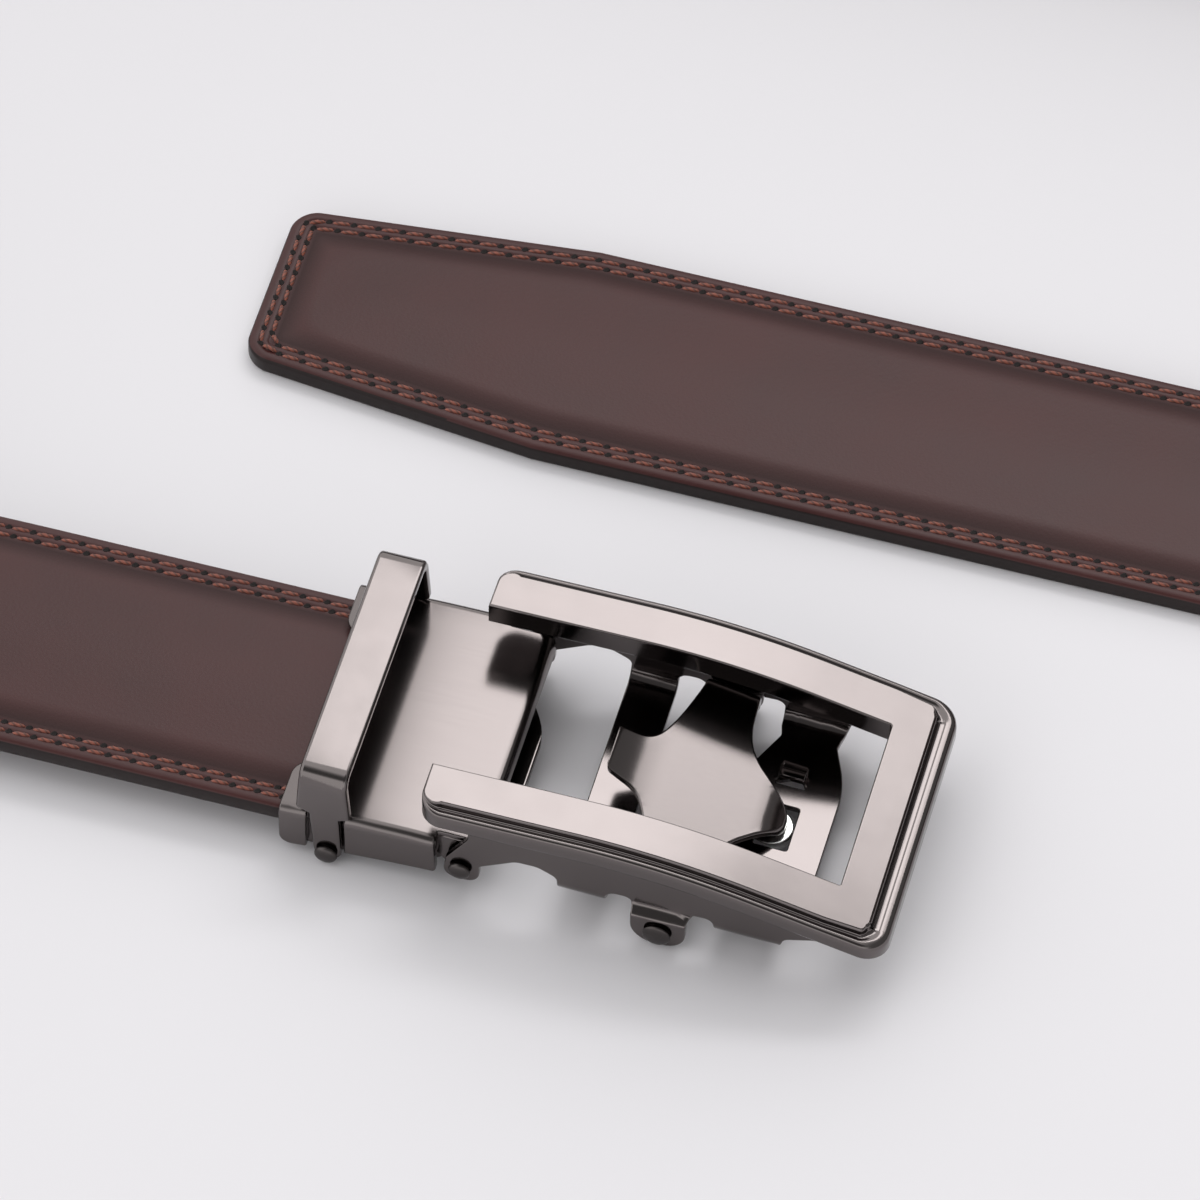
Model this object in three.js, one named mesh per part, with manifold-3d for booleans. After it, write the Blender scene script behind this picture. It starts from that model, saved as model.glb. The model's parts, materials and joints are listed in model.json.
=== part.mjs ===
// Ratchet belt: a stitched leather strap whose toothed tip slides through a hinged metal buckle.
// Millimetres, +Z up. Everything is modelled from the buckle: x = 0 at the open ends of the face
// frame's rails, +x towards its closed end, y = 0 on the middle of the strap, z = 0 on the table.
// At the end the whole belt is moved so that its origin is the middle of its footprint.

import * as THREE from 'three';
import { mergeVertices } from 'three/addons/utils/BufferGeometryUtils.js';
import Module from 'manifold-3d';

const wasm = await Module();
wasm.setup();

// Gap kept between neighbouring pieces
const gap = 0.3;

// Leather strap
const strapWidth = 35;
const strapEdge = 2.8;
const strapCrown = 0.9;
const strapCorner = 0.5;
const crownShoulder = 5;
const tipWidth = 26;
const tipCorner = 3.5;
const tipTaper = 42;
const tongueWidth = 30.4;
const tongueShoulder = 1.8;

// Where the strap runs on the table
const strapLift = 3.9;
const settleStart = 62;
const settleLength = 110;
const flatFromBuckle = 76;
const twistLength = 100;
const twistIntoBend = 35;
const backDistance = 178;
const tipDistance = 68.2;
const tipX = -47;
const flatFromTip = 140;
const stepFlat = 14;
const stepCurved = 7.5;

// Toothed track in a groove in the back of the strap
const trackWidth = 8;
const trackThick = 1;
const trackStart = 40;
const toothPitch = 5.5;
const toothCount = 30;
const toothDepth = 0.5;
const toothLand = 0.4;
const trackSink = 0.05;

// Face frame
const frameLength = 62.5;
const frameWidth = 40.8;
const frameThick = 3.8;
const rimLedge = 1.7;
const rimDrop = 0.9;
const openingWidth = 26.1;
const closedBar = 7.8;
const frameTop = 18.7;
const bowStart = 20.5;
const bowRadius = 98;
const bowAngle = THREE.MathUtils.degToRad(14);
const frameEndCorner = 3;
const frameCorner = 3.6;
const plateauCorner = 1.2;

// Chassis: folded sheet under the face frame
const sheet = 1;
const chassisWidth = 37;
const foldRadius = 1.6;
const skirtLeft = 6.3;
const skirtRight = 60.2;
const skirtNotch = 11;
const archRise = 8.6;
const smallArchRise = 6.8;
const endArchRise = 7.4;
const endArchFoot = 6.3;
const stripLeft = 18.3;
const stripLength = 6.5;
const stripFloor = 3.4;
const trayLeft = 37.2;
const trayTab = 39.4;
const trayTabLength = 8;
const trayBulge = 2.5;
const trayFloor = 2.4;
const trayNeckWidth = 17;
const holeX = 42.9;
const holeLength = 4.6;
const holeWidth = 6.9;
const lanceX = 43;
const lanceY = 8.6;
const lanceSize = 3.6;
const lanceTab = 2.6;
const lugWidth = 7.4;
const lugStep = 1.5;
const lugShoulder = 5.2;

// Hinge, pawl and keeper pins
const hingeX = 5.3;
const hingeZ = 4.3;
const hingeHead = 1.5;
const hingeShaft = 1;
const hingeEar = 2.5;
const pawlPinX = 32.3;
const pawlPinZ = 2.6;
const pawlPinHead = 1.9;
const pawlPinShaft = 1.2;
const keeperPinX = -12.6;
const keeperPinZ = 1.75;
const keeperPinHead = 1.55;
const keeperPinShaft = 0.8;
const headHeight = 0.8;
const bore = 0.3;

// Pawl
const pawlLength = 24;
const pawlSlope = THREE.MathUtils.degToRad(17.3);
const pawlSheet = 1.1;
const pawlToothX = 20.2;
const pawlToothZ = 12;
const pawlLip = 1.5;
const pawlEarWidth = 6.9;
const pawlEarFoot = 2.2;

// Magnet under the pawl's tongue
const magnetRadius = 2.9;
const magnetThick = 1.6;
const magnetX = 42.3;

// Base plate
const baseWidth = 38;
const baseSheet = 1.2;
const baseTop = 9.5;
const baseBow = 200;
const baseBowX = -3;
const baseLeft = -19.2;
const baseRight = 8.2;
const baseRightDrop = 1.9;
const baseRecess = 5;
const flangeRight = 1.8;
const flangeRightLow = 2.5;
const flangeFoot = 1.7;
const flangeFootRight = 2.7;
const flangeHeel = 1;
const flangeCorner = 2.4;
const cheek = 1;
const cheekLeft = 3.6;
const cheekRight = 3.2;

// Keeper
const keeperTop = 18.1;
const keeperSheet = 1.5;
const keeperWidth = 38.4;
const keeperLeft = -16.4;
const keeperLength = 6.5;
const keeperFlare = 0.4;
const keeperShoulder = 8.6;
const keeperCorner = 1.6;
const keeperLeg = 4.1;
const keeperLegThick = 1;

// Clamp lever under the strap's end
const leverSheet = 1.2;
const leverTop = 3.1;
const leverTipX = 10;
const leverTipRadius = 18.5;
const leverTipWidth = 20;
const leverTipRise = 1.5;
const leverStart = -11;
const leverTeeth = 3;
const leverToothPitch = 2.4;
const leverToothRise = 0.5;
const leverEarRadius = 1.75;
const leverEar = 0.9;

const smooth = (u) => {
  const t = THREE.MathUtils.clamp(u, 0, 1);
  return t * t * (3 - 2 * t);
};

// Solids and meshes

const weldDistance = 1e-4;

function solidOf(geometry) {
  const merged = mergeVertices(stripped(geometry), weldDistance);
  return new wasm.Manifold(new wasm.Mesh({
    numProp: 3,
    vertProperties: new Float32Array(merged.attributes.position.array),
    triVerts: new Uint32Array(merged.index.array),
  }));
}

function stripped(geometry) {
  const copy = geometry.clone();
  copy.deleteAttribute('normal');
  copy.deleteAttribute('uv');
  return copy;
}

function geometryOf(solid) {
  const mesh = solid.getMesh();
  const geometry = new THREE.BufferGeometry();
  geometry.setAttribute('position', new THREE.BufferAttribute(mesh.vertProperties, 3));
  geometry.setIndex(new THREE.BufferAttribute(mesh.triVerts, 1));
  geometry.computeVertexNormals();
  return geometry;
}

const join = (...solids) => solids.reduce((sum, next) => sum.add(next));

// Outline of straight lines whose corners are rounded by their own radius r

function outline(rows) {
  const shape = new THREE.Shape();
  const count = rows.length;
  rows.forEach((row, i) => {
    const here = new THREE.Vector2(row.x, row.y);
    const before = rows[(i + count - 1) % count];
    const after = rows[(i + 1) % count];
    const back = new THREE.Vector2(before.x, before.y).sub(here);
    const ahead = new THREE.Vector2(after.x, after.y).sub(here);
    const room = 0.49 * Math.min(back.length(), ahead.length());
    back.normalize();
    ahead.normalize();
    const half = back.angleTo(ahead) / 2;
    const reach = Math.min((row.r ?? 0) / Math.tan(half), room);
    if (reach < 0.01 || half > 1.55) {
      if (i === 0) shape.moveTo(here.x, here.y);
      else shape.lineTo(here.x, here.y);
      return;
    }
    const start = here.clone().addScaledVector(back, reach);
    const end = here.clone().addScaledVector(ahead, reach);
    const radius = reach * Math.tan(half);
    const middle = back.clone().add(ahead).setLength(radius / Math.sin(half)).add(here);
    const a0 = Math.atan2(start.y - middle.y, start.x - middle.x);
    const a1 = Math.atan2(end.y - middle.y, end.x - middle.x);
    const clockwise = back.cross(ahead) > 0;
    if (i === 0) shape.moveTo(start.x, start.y);
    else shape.lineTo(start.x, start.y);
    shape.absarc(middle.x, middle.y, radius, a0, a1, clockwise);
  });
  shape.closePath();
  return shape;
}

// Plate with an outline in the named plane, from low to high along the remaining axis

function plate(shape, plane, low, high, curveSegments = 2) {
  const geometry = new THREE.ExtrudeGeometry(shape, { depth: high - low, bevelEnabled: false, curveSegments });
  const [x, y, z] = [[1, 0, 0], [0, 1, 0], [0, 0, 1]].map((v) => new THREE.Vector3(...v));
  const turn = new THREE.Matrix4();
  if (plane === 'xz') turn.makeBasis(x, z, y.clone().negate()).setPosition(0, high, 0);
  if (plane === 'yz') turn.makeBasis(y, z, x).setPosition(low, 0, 0);
  if (plane === 'xy') turn.makeTranslation(0, 0, low);
  return solidOf(geometry.applyMatrix4(turn));
}

function block(x0, x1, y0, y1, z0, z1) {
  const geometry = new THREE.BoxGeometry(x1 - x0, y1 - y0, z1 - z0);
  return solidOf(geometry.translate((x0 + x1) / 2, (y0 + y1) / 2, (z0 + z1) / 2));
}

// Round bar along Y

function bar(x, z, radius, y0, y1, sides = 16) {
  const geometry = new THREE.CylinderGeometry(radius, radius, y1 - y0, sides);
  return solidOf(geometry.translate(x, (y0 + y1) / 2, z));
}

const mirrored = (solid) => solid.mirror([0, 1, 0]);
const bothSides = (solid) => solid.add(mirrored(solid));

// Rivet along +Y from inner to outer, with a domed head beyond outer

function rivet(x, z, shaft, head, inner, outer) {
  const profile = [
    new THREE.Vector2(0, inner),
    new THREE.Vector2(shaft, inner),
    new THREE.Vector2(shaft, outer),
    new THREE.Vector2(head, outer),
    new THREE.Vector2(head * 0.94, outer + headHeight * 0.5),
    new THREE.Vector2(head * 0.6, outer + headHeight * 0.9),
    new THREE.Vector2(0, outer + headHeight),
  ];
  return solidOf(new THREE.LatheGeometry(profile, 16).translate(x, 0, z));
}

// Solid through a list of rings that all have the same number of points

function loft(rings) {
  const count = rings[0].length;
  const positions = rings.flat().flatMap((p) => [p.x, p.y, p.z]);
  const triangles = [];
  for (let i = 0; i + 1 < rings.length; i += 1) {
    for (let j = 0; j < count; j += 1) {
      const a = i * count + j;
      const b = i * count + ((j + 1) % count);
      triangles.push(a, b, b + count, a, b + count, a + count);
    }
  }
  const last = (rings.length - 1) * count;
  for (let j = 1; j + 1 < count; j += 1) {
    triangles.push(0, j + 1, j, last, last + j, last + j + 1);
  }
  const geometry = new THREE.BufferGeometry();
  geometry.setAttribute('position', new THREE.Float32BufferAttribute(positions, 3));
  geometry.setIndex(triangles);
  return solidOf(geometry);
}

// Strap route. The strap leaves the buckle flat, heads along -X, turns onto its edge, loops round
// clockwise behind the buckle and turns flat again before its tip. Turns ease in and out, so a half
// turn of length L ends bendReach * L to the side.

const bendSamples = 400;
let bendReach = 0;
for (let i = 0; i < bendSamples; i += 1) {
  bendReach += Math.sin(Math.PI * smooth((i + 0.5) / bendSamples)) / bendSamples;
}

const strapEndX = 1;
const tongueLength = strapEndX - keeperPinX + cheekLeft + gap;
const leftBendStart = flatFromBuckle + twistLength - twistIntoBend;
const leftBendLength = backDistance / bendReach;
const tipStraight = flatFromTip + twistLength - twistIntoBend;
const backLength = tipX + tipStraight - (strapEndX - leftBendStart);
const rightBendStart = leftBendStart + leftBendLength + backLength;
const rightBendLength = (backDistance - tipDistance) / bendReach;
const strapLength = rightBendStart + rightBendLength + tipStraight;
const twistBackStart = strapLength - flatFromTip - twistLength;

function heading(s) {
  const left = smooth((s - leftBendStart) / leftBendLength);
  const right = smooth((s - rightBendStart) / rightBendLength);
  return Math.PI * (1 - left - right);
}

function twist(s) {
  const rise = smooth((s - flatFromBuckle) / twistLength);
  const fall = smooth((s - twistBackStart) / twistLength);
  return (Math.PI / 2) * (rise - fall);
}

const routeStep = 0.5;
const route = [new THREE.Vector2(strapEndX, 0)];
for (let s = routeStep / 2; s < strapLength + routeStep; s += routeStep) {
  const here = route[route.length - 1].clone();
  route.push(here.add(new THREE.Vector2(Math.cos(heading(s)), Math.sin(heading(s))).multiplyScalar(routeStep)));
}

function routePoint(s) {
  const i = Math.min(Math.floor(s / routeStep), route.length - 2);
  return route[i].clone().lerp(route[i + 1], s / routeStep - i);
}

// Place on the strap: across is to the left of its run, up is out of its outer face

function onStrap(s, across, up) {
  const turn = twist(s);
  const point = routePoint(s);
  const left = new THREE.Vector3(-Math.sin(heading(s)), Math.cos(heading(s)), 0);
  const lift = strapLift * (1 - smooth((s - settleStart) / settleLength));
  const out = across * Math.cos(turn) + up * Math.sin(turn);
  const height = (strapWidth / 2 - across) * Math.sin(turn) + up * Math.cos(turn) + lift;
  return new THREE.Vector3(point.x, point.y, 0).addScaledVector(left, out).setZ(height);
}

function halfWidth(s) {
  const toTip = strapLength - s;
  const full = strapWidth / 2;
  const tip = tipWidth / 2;
  const corner = Math.max(tipCorner - toTip, 0);
  const rounding = tipCorner - Math.sqrt(Math.max(tipCorner ** 2 - corner ** 2, 0));
  const tapered = tip + (full - tip) * Math.min(toTip / tipTaper, 1) - rounding;
  const tongue = tongueWidth / 2 + (full - tongueWidth / 2) * smooth((s - tongueLength) / tongueShoulder);
  return Math.min(tapered, tongue);
}

function strapRing(s) {
  const half = halfWidth(s);
  const toTip = strapLength - s;
  const crown = strapCrown * smooth(toTip / (2 * crownShoulder));
  const shoulder = half - crownShoulder;
  const side = [
    { across: half - strapCorner, up: 0 },
    { across: half, up: strapCorner },
    { across: half, up: strapEdge - strapCorner },
    { across: half - strapCorner, up: strapEdge },
    { across: shoulder, up: strapEdge + crown * 0.6 },
    { across: shoulder * 0.5, up: strapEdge + crown },
  ];
  const other = side.toReversed().map((p) => ({ across: -p.across, up: p.up }));
  return [...side, ...other].map((p) => onStrap(s, p.across, p.up));
}

// Stations along the strap, close together where it bends, twists or narrows

function strapStations() {
  const flatEnd = Math.min(flatFromBuckle, settleStart);
  const curveEnd = strapLength - flatFromTip;
  const stations = [0, tongueLength, tongueLength + tongueShoulder / 2, tongueLength + tongueShoulder];
  const fill = (from, to, step) => {
    const parts = Math.max(Math.round((to - from) / step), 1);
    for (let i = 1; i <= parts; i += 1) stations.push(from + ((to - from) * i) / parts);
  };
  fill(tongueLength + tongueShoulder, flatEnd, stepFlat);
  fill(flatEnd, curveEnd, stepCurved);
  fill(curveEnd, strapLength - tipTaper, stepFlat);
  fill(strapLength - tipTaper, strapLength - 2 * crownShoulder, stepFlat);
  fill(strapLength - 2 * crownShoulder, strapLength - tipCorner, stepFlat / 4);
  for (const turn of [0.3, 0.6, 0.85, 1]) {
    stations.push(strapLength - tipCorner * Math.cos((Math.PI / 2) * turn));
  }
  return stations;
}

// Bar of rectangular section on the strap's back, its lower face following low(s)

function backBar(stations, width, low, high) {
  const rings = stations.map((s, i) => {
    const across = width / 2;
    const foot = low(i);
    return [[across, foot], [across, high], [-across, high], [-across, foot]]
      .map(([a, up]) => onStrap(s, a, up));
  });
  return loft(rings);
}

const trackEnd = trackStart + toothCount * toothPitch;

function trackStations() {
  const stations = [];
  for (let tooth = 0; tooth < toothCount; tooth += 1) {
    const root = strapLength - trackEnd + tooth * toothPitch;
    stations.push(root, root + toothPitch - toothLand);
  }
  stations.push(strapLength - trackStart);
  return stations;
}

function strap() {
  const stations = trackStations();
  stations[0] -= gap;
  stations[stations.length - 1] += gap;
  const groove = backBar(stations, trackWidth + 2 * gap, () => -1, trackThick + gap);
  return loft(strapStations().map(strapRing)).subtract(groove);
}

function ratchetTrack() {
  const foot = (i) => (i % 2 === 0 ? trackSink + toothDepth : trackSink);
  return backBar(trackStations(), trackWidth, foot, trackThick);
}

// Face frame: a bowed casting, open towards the strap, with a raised flat and a lower rim

const bowEnd = bowStart + bowRadius * Math.sin(bowAngle);

function frameHeight(x) {
  if (x <= bowStart) return frameTop;
  if (x <= bowEnd) return frameTop - bowRadius + Math.sqrt(bowRadius ** 2 - (x - bowStart) ** 2);
  return frameTop - bowRadius * (1 - Math.cos(bowAngle)) - (x - bowEnd) * Math.tan(bowAngle);
}

// Points that follow the bow, lowered by drop

function bowLine(from, to, drop) {
  const stops = [from];
  const arcs = 8;
  for (let i = 0; i <= arcs; i += 1) stops.push(bowStart + ((bowEnd - bowStart) * i) / arcs);
  stops.push(to);
  return stops.filter((x) => x >= from && x <= to).map((x) => ({ x, y: frameHeight(x) - drop }));
}

const bowBand = (from, to, upper, lower) =>
  outline([...bowLine(from, to, lower), ...bowLine(from, to, upper).reverse()]);

function framePlan(inset, endCorner, corner) {
  const half = frameWidth / 2 - inset;
  const right = frameLength - inset * 1.7;
  const left = inset * 0.2;
  const inner = openingWidth / 2;
  const openingRight = frameLength - closedBar;
  return outline([
    { x: left, y: -half, r: endCorner },
    { x: right, y: -half, r: corner },
    { x: right, y: half, r: corner },
    { x: left, y: half, r: endCorner },
    { x: left, y: inner },
    { x: openingRight, y: inner },
    { x: openingRight, y: -inner },
    { x: left, y: -inner },
  ]);
}

function faceFrame() {
  const half = frameWidth;
  const body = plate(framePlan(0, frameEndCorner, frameCorner), 'xy', 0, 2 * frameTop)
    .intersect(plate(bowBand(-1, frameLength + 1, rimDrop, frameThick), 'xz', -half, half));
  const flat = plate(framePlan(rimLedge, plateauCorner, plateauCorner), 'xy', 0, 2 * frameTop)
    .intersect(plate(bowBand(-1, frameLength + 1, 0, frameThick / 2), 'xz', -half, half));
  return join(body, flat);
}

// Chassis: two skirts, a narrow strip and a tray folded from one sheet, with lugs for the pawl pin

const chassisInner = chassisWidth / 2 - sheet;

function skirt() {
  const underFrame = bowLine(skirtLeft, skirtRight, frameThick + gap);
  const stripRight = stripLeft + stripLength;
  const tabRight = trayTab + trayTabLength;
  const lugLeft = pawlPinX - lugWidth / 2;
  const lugRight = pawlPinX + lugWidth / 2;
  const lower = [
    { x: skirtRight, y: endArchFoot, r: 0.5 },
    { x: (tabRight + skirtRight) / 2, y: endArchRise, r: 8 },
    { x: tabRight + 1.2, y: endArchFoot - 1, r: 1.5 },
    { x: tabRight, y: trayFloor, r: 0.8 },
    { x: trayTab, y: trayFloor, r: 0.8 },
    { x: trayTab, y: smallArchRise - 0.7, r: 1.3 },
    { x: lugRight, y: smallArchRise - 0.7, r: 1.3 },
    { x: lugRight, y: lugShoulder, r: 0.5 },
    { x: lugLeft, y: lugShoulder, r: 0.5 },
    { x: lugLeft, y: smallArchRise, r: 1.5 },
    { x: stripRight, y: smallArchRise, r: 1.8 },
    { x: stripRight, y: stripFloor, r: 0.8 },
    { x: stripLeft, y: stripFloor, r: 0.8 },
    { x: stripLeft, y: archRise - 1.6, r: 1.2 },
    { x: stripLeft - 2.6, y: archRise, r: 2.5 },
    { x: hingeX + 3 * hingeEar, y: archRise, r: 2.5 },
    { x: hingeX + hingeEar, y: hingeZ, r: 1 },
    { x: hingeX - hingeEar * 0.9, y: hingeZ, r: 0.5 },
    { x: hingeX - hingeEar * 0.9, y: hingeZ + hingeEar * 0.7, r: 1 },
    { x: skirtLeft, y: skirtNotch, r: 2 },
  ];
  const side = chassisWidth / 2;
  const sheetPlate = plate(outline([...underFrame, ...lower]), 'xz', side - sheet, side);
  return join(sheetPlate, bar(hingeX, hingeZ, hingeEar, side - sheet, side, 20));
}

function lug() {
  const half = lugWidth / 2;
  const inner = chassisInner;
  const outer = chassisWidth / 2 + lugStep;
  const foot = outline([
    { x: pawlPinX - half, y: lugShoulder + 1.2, r: 0.6 },
    { x: pawlPinX - half, y: 0, r: half },
    { x: pawlPinX + half, y: 0, r: half },
    { x: pawlPinX + half, y: lugShoulder + 1.2, r: 0.6 },
  ]);
  const ear = plate(foot, 'xz', outer - sheet, outer, 4);
  const step = block(pawlPinX - half + 0.6, pawlPinX + half - 0.6, inner, outer, lugShoulder, lugShoulder + sheet);
  return join(ear, step);
}

// Channel section whose floor is folded up on both sides

function channel(floor, wall) {
  const half = chassisWidth / 2;
  const r = foldRadius;
  return outline([
    { x: -half, y: wall },
    { x: -half, y: floor, r: r + sheet },
    { x: half, y: floor, r: r + sheet },
    { x: half, y: wall },
    { x: half - sheet, y: wall },
    { x: half - sheet, y: floor + sheet, r },
    { x: -half + sheet, y: floor + sheet, r },
    { x: -half + sheet, y: wall },
  ]);
}

function tray() {
  const tabRight = trayTab + trayTabLength;
  const half = chassisWidth / 2;
  const neck = trayNeckWidth / 2;
  const plan = outline([
    { x: tabRight, y: half },
    { x: trayTab, y: half },
    { x: trayTab + 0.4, y: half - 4 },
    { x: trayLeft, y: neck, r: 1 },
    { x: trayLeft, y: -neck, r: 1 },
    { x: trayTab + 0.4, y: 4 - half },
    { x: trayTab, y: -half },
    { x: tabRight, y: -half },
    { x: tabRight, y: 4 - half, r: 1 },
    { x: tabRight + trayBulge, y: -neck / 2, r: 20 },
    { x: tabRight + trayBulge, y: neck / 2, r: 20 },
    { x: tabRight, y: half - 4, r: 1 },
  ]);
  const section = plate(channel(trayFloor, endArchFoot), 'yz', trayLeft - 1, tabRight + trayBulge + 1);
  const hole = block(holeX - holeLength / 2, holeX + holeLength / 2, -holeWidth / 2, holeWidth / 2, 0, 2 * trayFloor);
  const slot = block(lanceX - lanceSize / 2, lanceX + lanceSize / 2, lanceY - 1.9, lanceY - 1, 0, 2 * trayFloor);
  const tab = block(lanceX - lanceTab / 2, lanceX + lanceTab / 2, lanceY - 0.8, lanceY + 0.6, trayFloor,
    trayFloor + 2 * sheet);
  return join(section.intersect(plate(plan, 'xy', 0, endArchFoot + 1)).subtract(hole).subtract(slot), tab);
}

function chassis() {
  const strip = plate(channel(stripFloor, smallArchRise), 'yz', stripLeft, stripLeft + stripLength);
  const side = join(skirt(), lug());
  const half = chassisWidth;
  return join(bothSides(side), strip, tray())
    .subtract(bar(hingeX, hingeZ, hingeShaft + bore, -half, half))
    .subtract(bar(pawlPinX, pawlPinZ, pawlPinShaft + bore, -half, half))
    .subtract(magnetSeat());
}

// Magnet standing in the tray's hole, on a small bridge of the same sheet

function magnetDisc(radius, low, high) {
  const geometry = new THREE.CylinderGeometry(radius, radius, high - low, 20);
  return solidOf(geometry.rotateX(Math.PI / 2).translate(magnetX, 0, (low + high) / 2));
}

const magnetTop = trayFloor + sheet - 0.2;

const magnetSeat = () => magnetDisc(magnetRadius + gap, magnetTop - magnetThick - gap, magnetTop + sheet);
const magnet = () => magnetDisc(magnetRadius, magnetTop - magnetThick, magnetTop);

// Pins

const pawlPinOuter = chassisWidth / 2 + lugStep + gap;

function pawlPin() {
  const half = rivet(pawlPinX, pawlPinZ, pawlPinShaft, pawlPinHead, -1, pawlPinOuter);
  return bothSides(half);
}

const hingePin = () => rivet(hingeX, hingeZ, hingeShaft, hingeHead, hingeInner + gap, chassisWidth / 2 + gap);

const keeperPin = () => rivet(keeperPinX, keeperPinZ, keeperPinShaft, keeperPinHead,
  cheekInner - leverEar - gap, keeperWidth / 2 + gap);

// Pawl: a winged lever bent from sheet, its tooth up towards the strap and its tongue on the magnet

const pawlStations = [
  { along: 0, half: 0.21 },
  { along: 0.05, half: 0.22 },
  { along: 0.13, half: 0.31 },
  { along: 0.21, half: 0.42 },
  { along: 0.28, half: 0.55 },
  { along: 0.33, half: 0.7 },
  { along: 0.385, half: 1 },
  { along: 0.675, half: 1 },
  { along: 0.685, half: 0.58 },
  { along: 0.72, half: 0.47 },
  { along: 0.78, half: 0.37 },
  { along: 0.86, half: 0.27 },
  { along: 0.93, half: 0.18 },
  { along: 0.98, half: 0.11 },
  { along: 1, half: 0.04 },
];

const pawlHalf = chassisInner - gap;

function pawl() {
  const rows = pawlStations.map((row) => ({
    x: pawlToothX + row.along * pawlLength,
    y: row.half * pawlHalf,
  }));
  const plan = outline([...rows, ...rows.toReversed().map((p) => ({ x: p.x, y: -p.y }))].reverse());
  const slope = Math.tan(pawlSlope);
  const middle = (x) => pawlToothZ - (x - pawlToothX) * slope;
  const right = pawlToothX + pawlLength;
  const thick = pawlSheet / 2;
  const side = outline([
    { x: pawlToothX - 0.2, y: middle(pawlToothX) - thick - 0.2, r: 0.3 },
    { x: right - 3, y: middle(right - 3) - thick },
    { x: right, y: middle(right) - thick - 0.5, r: 0.5 },
    { x: right, y: middle(right) + thick - 0.9, r: 0.7 },
    { x: right - 3, y: middle(right - 3) + thick },
    { x: pawlToothX + 1.6, y: middle(pawlToothX + 1.6) + thick, r: 1 },
    { x: pawlToothX + 0.9, y: middle(pawlToothX) + thick + pawlLip * 0.3, r: 0.4 },
    { x: pawlToothX - 0.2, y: middle(pawlToothX) + thick + pawlLip * 0.3, r: 0.4 },
  ]);
  const leaf = plate(plan, 'xy', 0, frameTop).intersect(plate(side, 'xz', -frameWidth, frameWidth));
  const earHalf = pawlEarWidth / 2;
  const earShape = outline([
    { x: pawlPinX - earHalf, y: middle(pawlPinX - earHalf), r: 0 },
    { x: pawlPinX - pawlEarFoot, y: pawlPinZ - pawlEarFoot, r: pawlEarFoot },
    { x: pawlPinX + pawlEarFoot, y: pawlPinZ - pawlEarFoot, r: pawlEarFoot },
    { x: pawlPinX + earHalf, y: middle(pawlPinX + earHalf), r: 0 },
  ]);
  const ear = plate(earShape, 'xz', pawlHalf - pawlSheet, pawlHalf);
  return join(leaf, bothSides(ear)).subtract(bar(pawlPinX, pawlPinZ, pawlPinShaft + bore, -frameWidth, frameWidth));
}

// Base plate: a bowed channel over the strap's end, with ears for the hinge inside the skirts

const hingeInner = chassisInner - gap - baseSheet;
const cheekInner = baseWidth / 2 - baseSheet - cheek;

function baseHeight(x) {
  return baseTop - baseBow + Math.sqrt(baseBow ** 2 - (x - baseBowX) ** 2);
}

function baseLine(from, to, drop) {
  const parts = 7;
  return Array.from({ length: parts + 1 }, (_, i) => from + ((to - from) * i) / parts)
    .map((x) => ({ x, y: baseHeight(x) - drop }));
}

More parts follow.
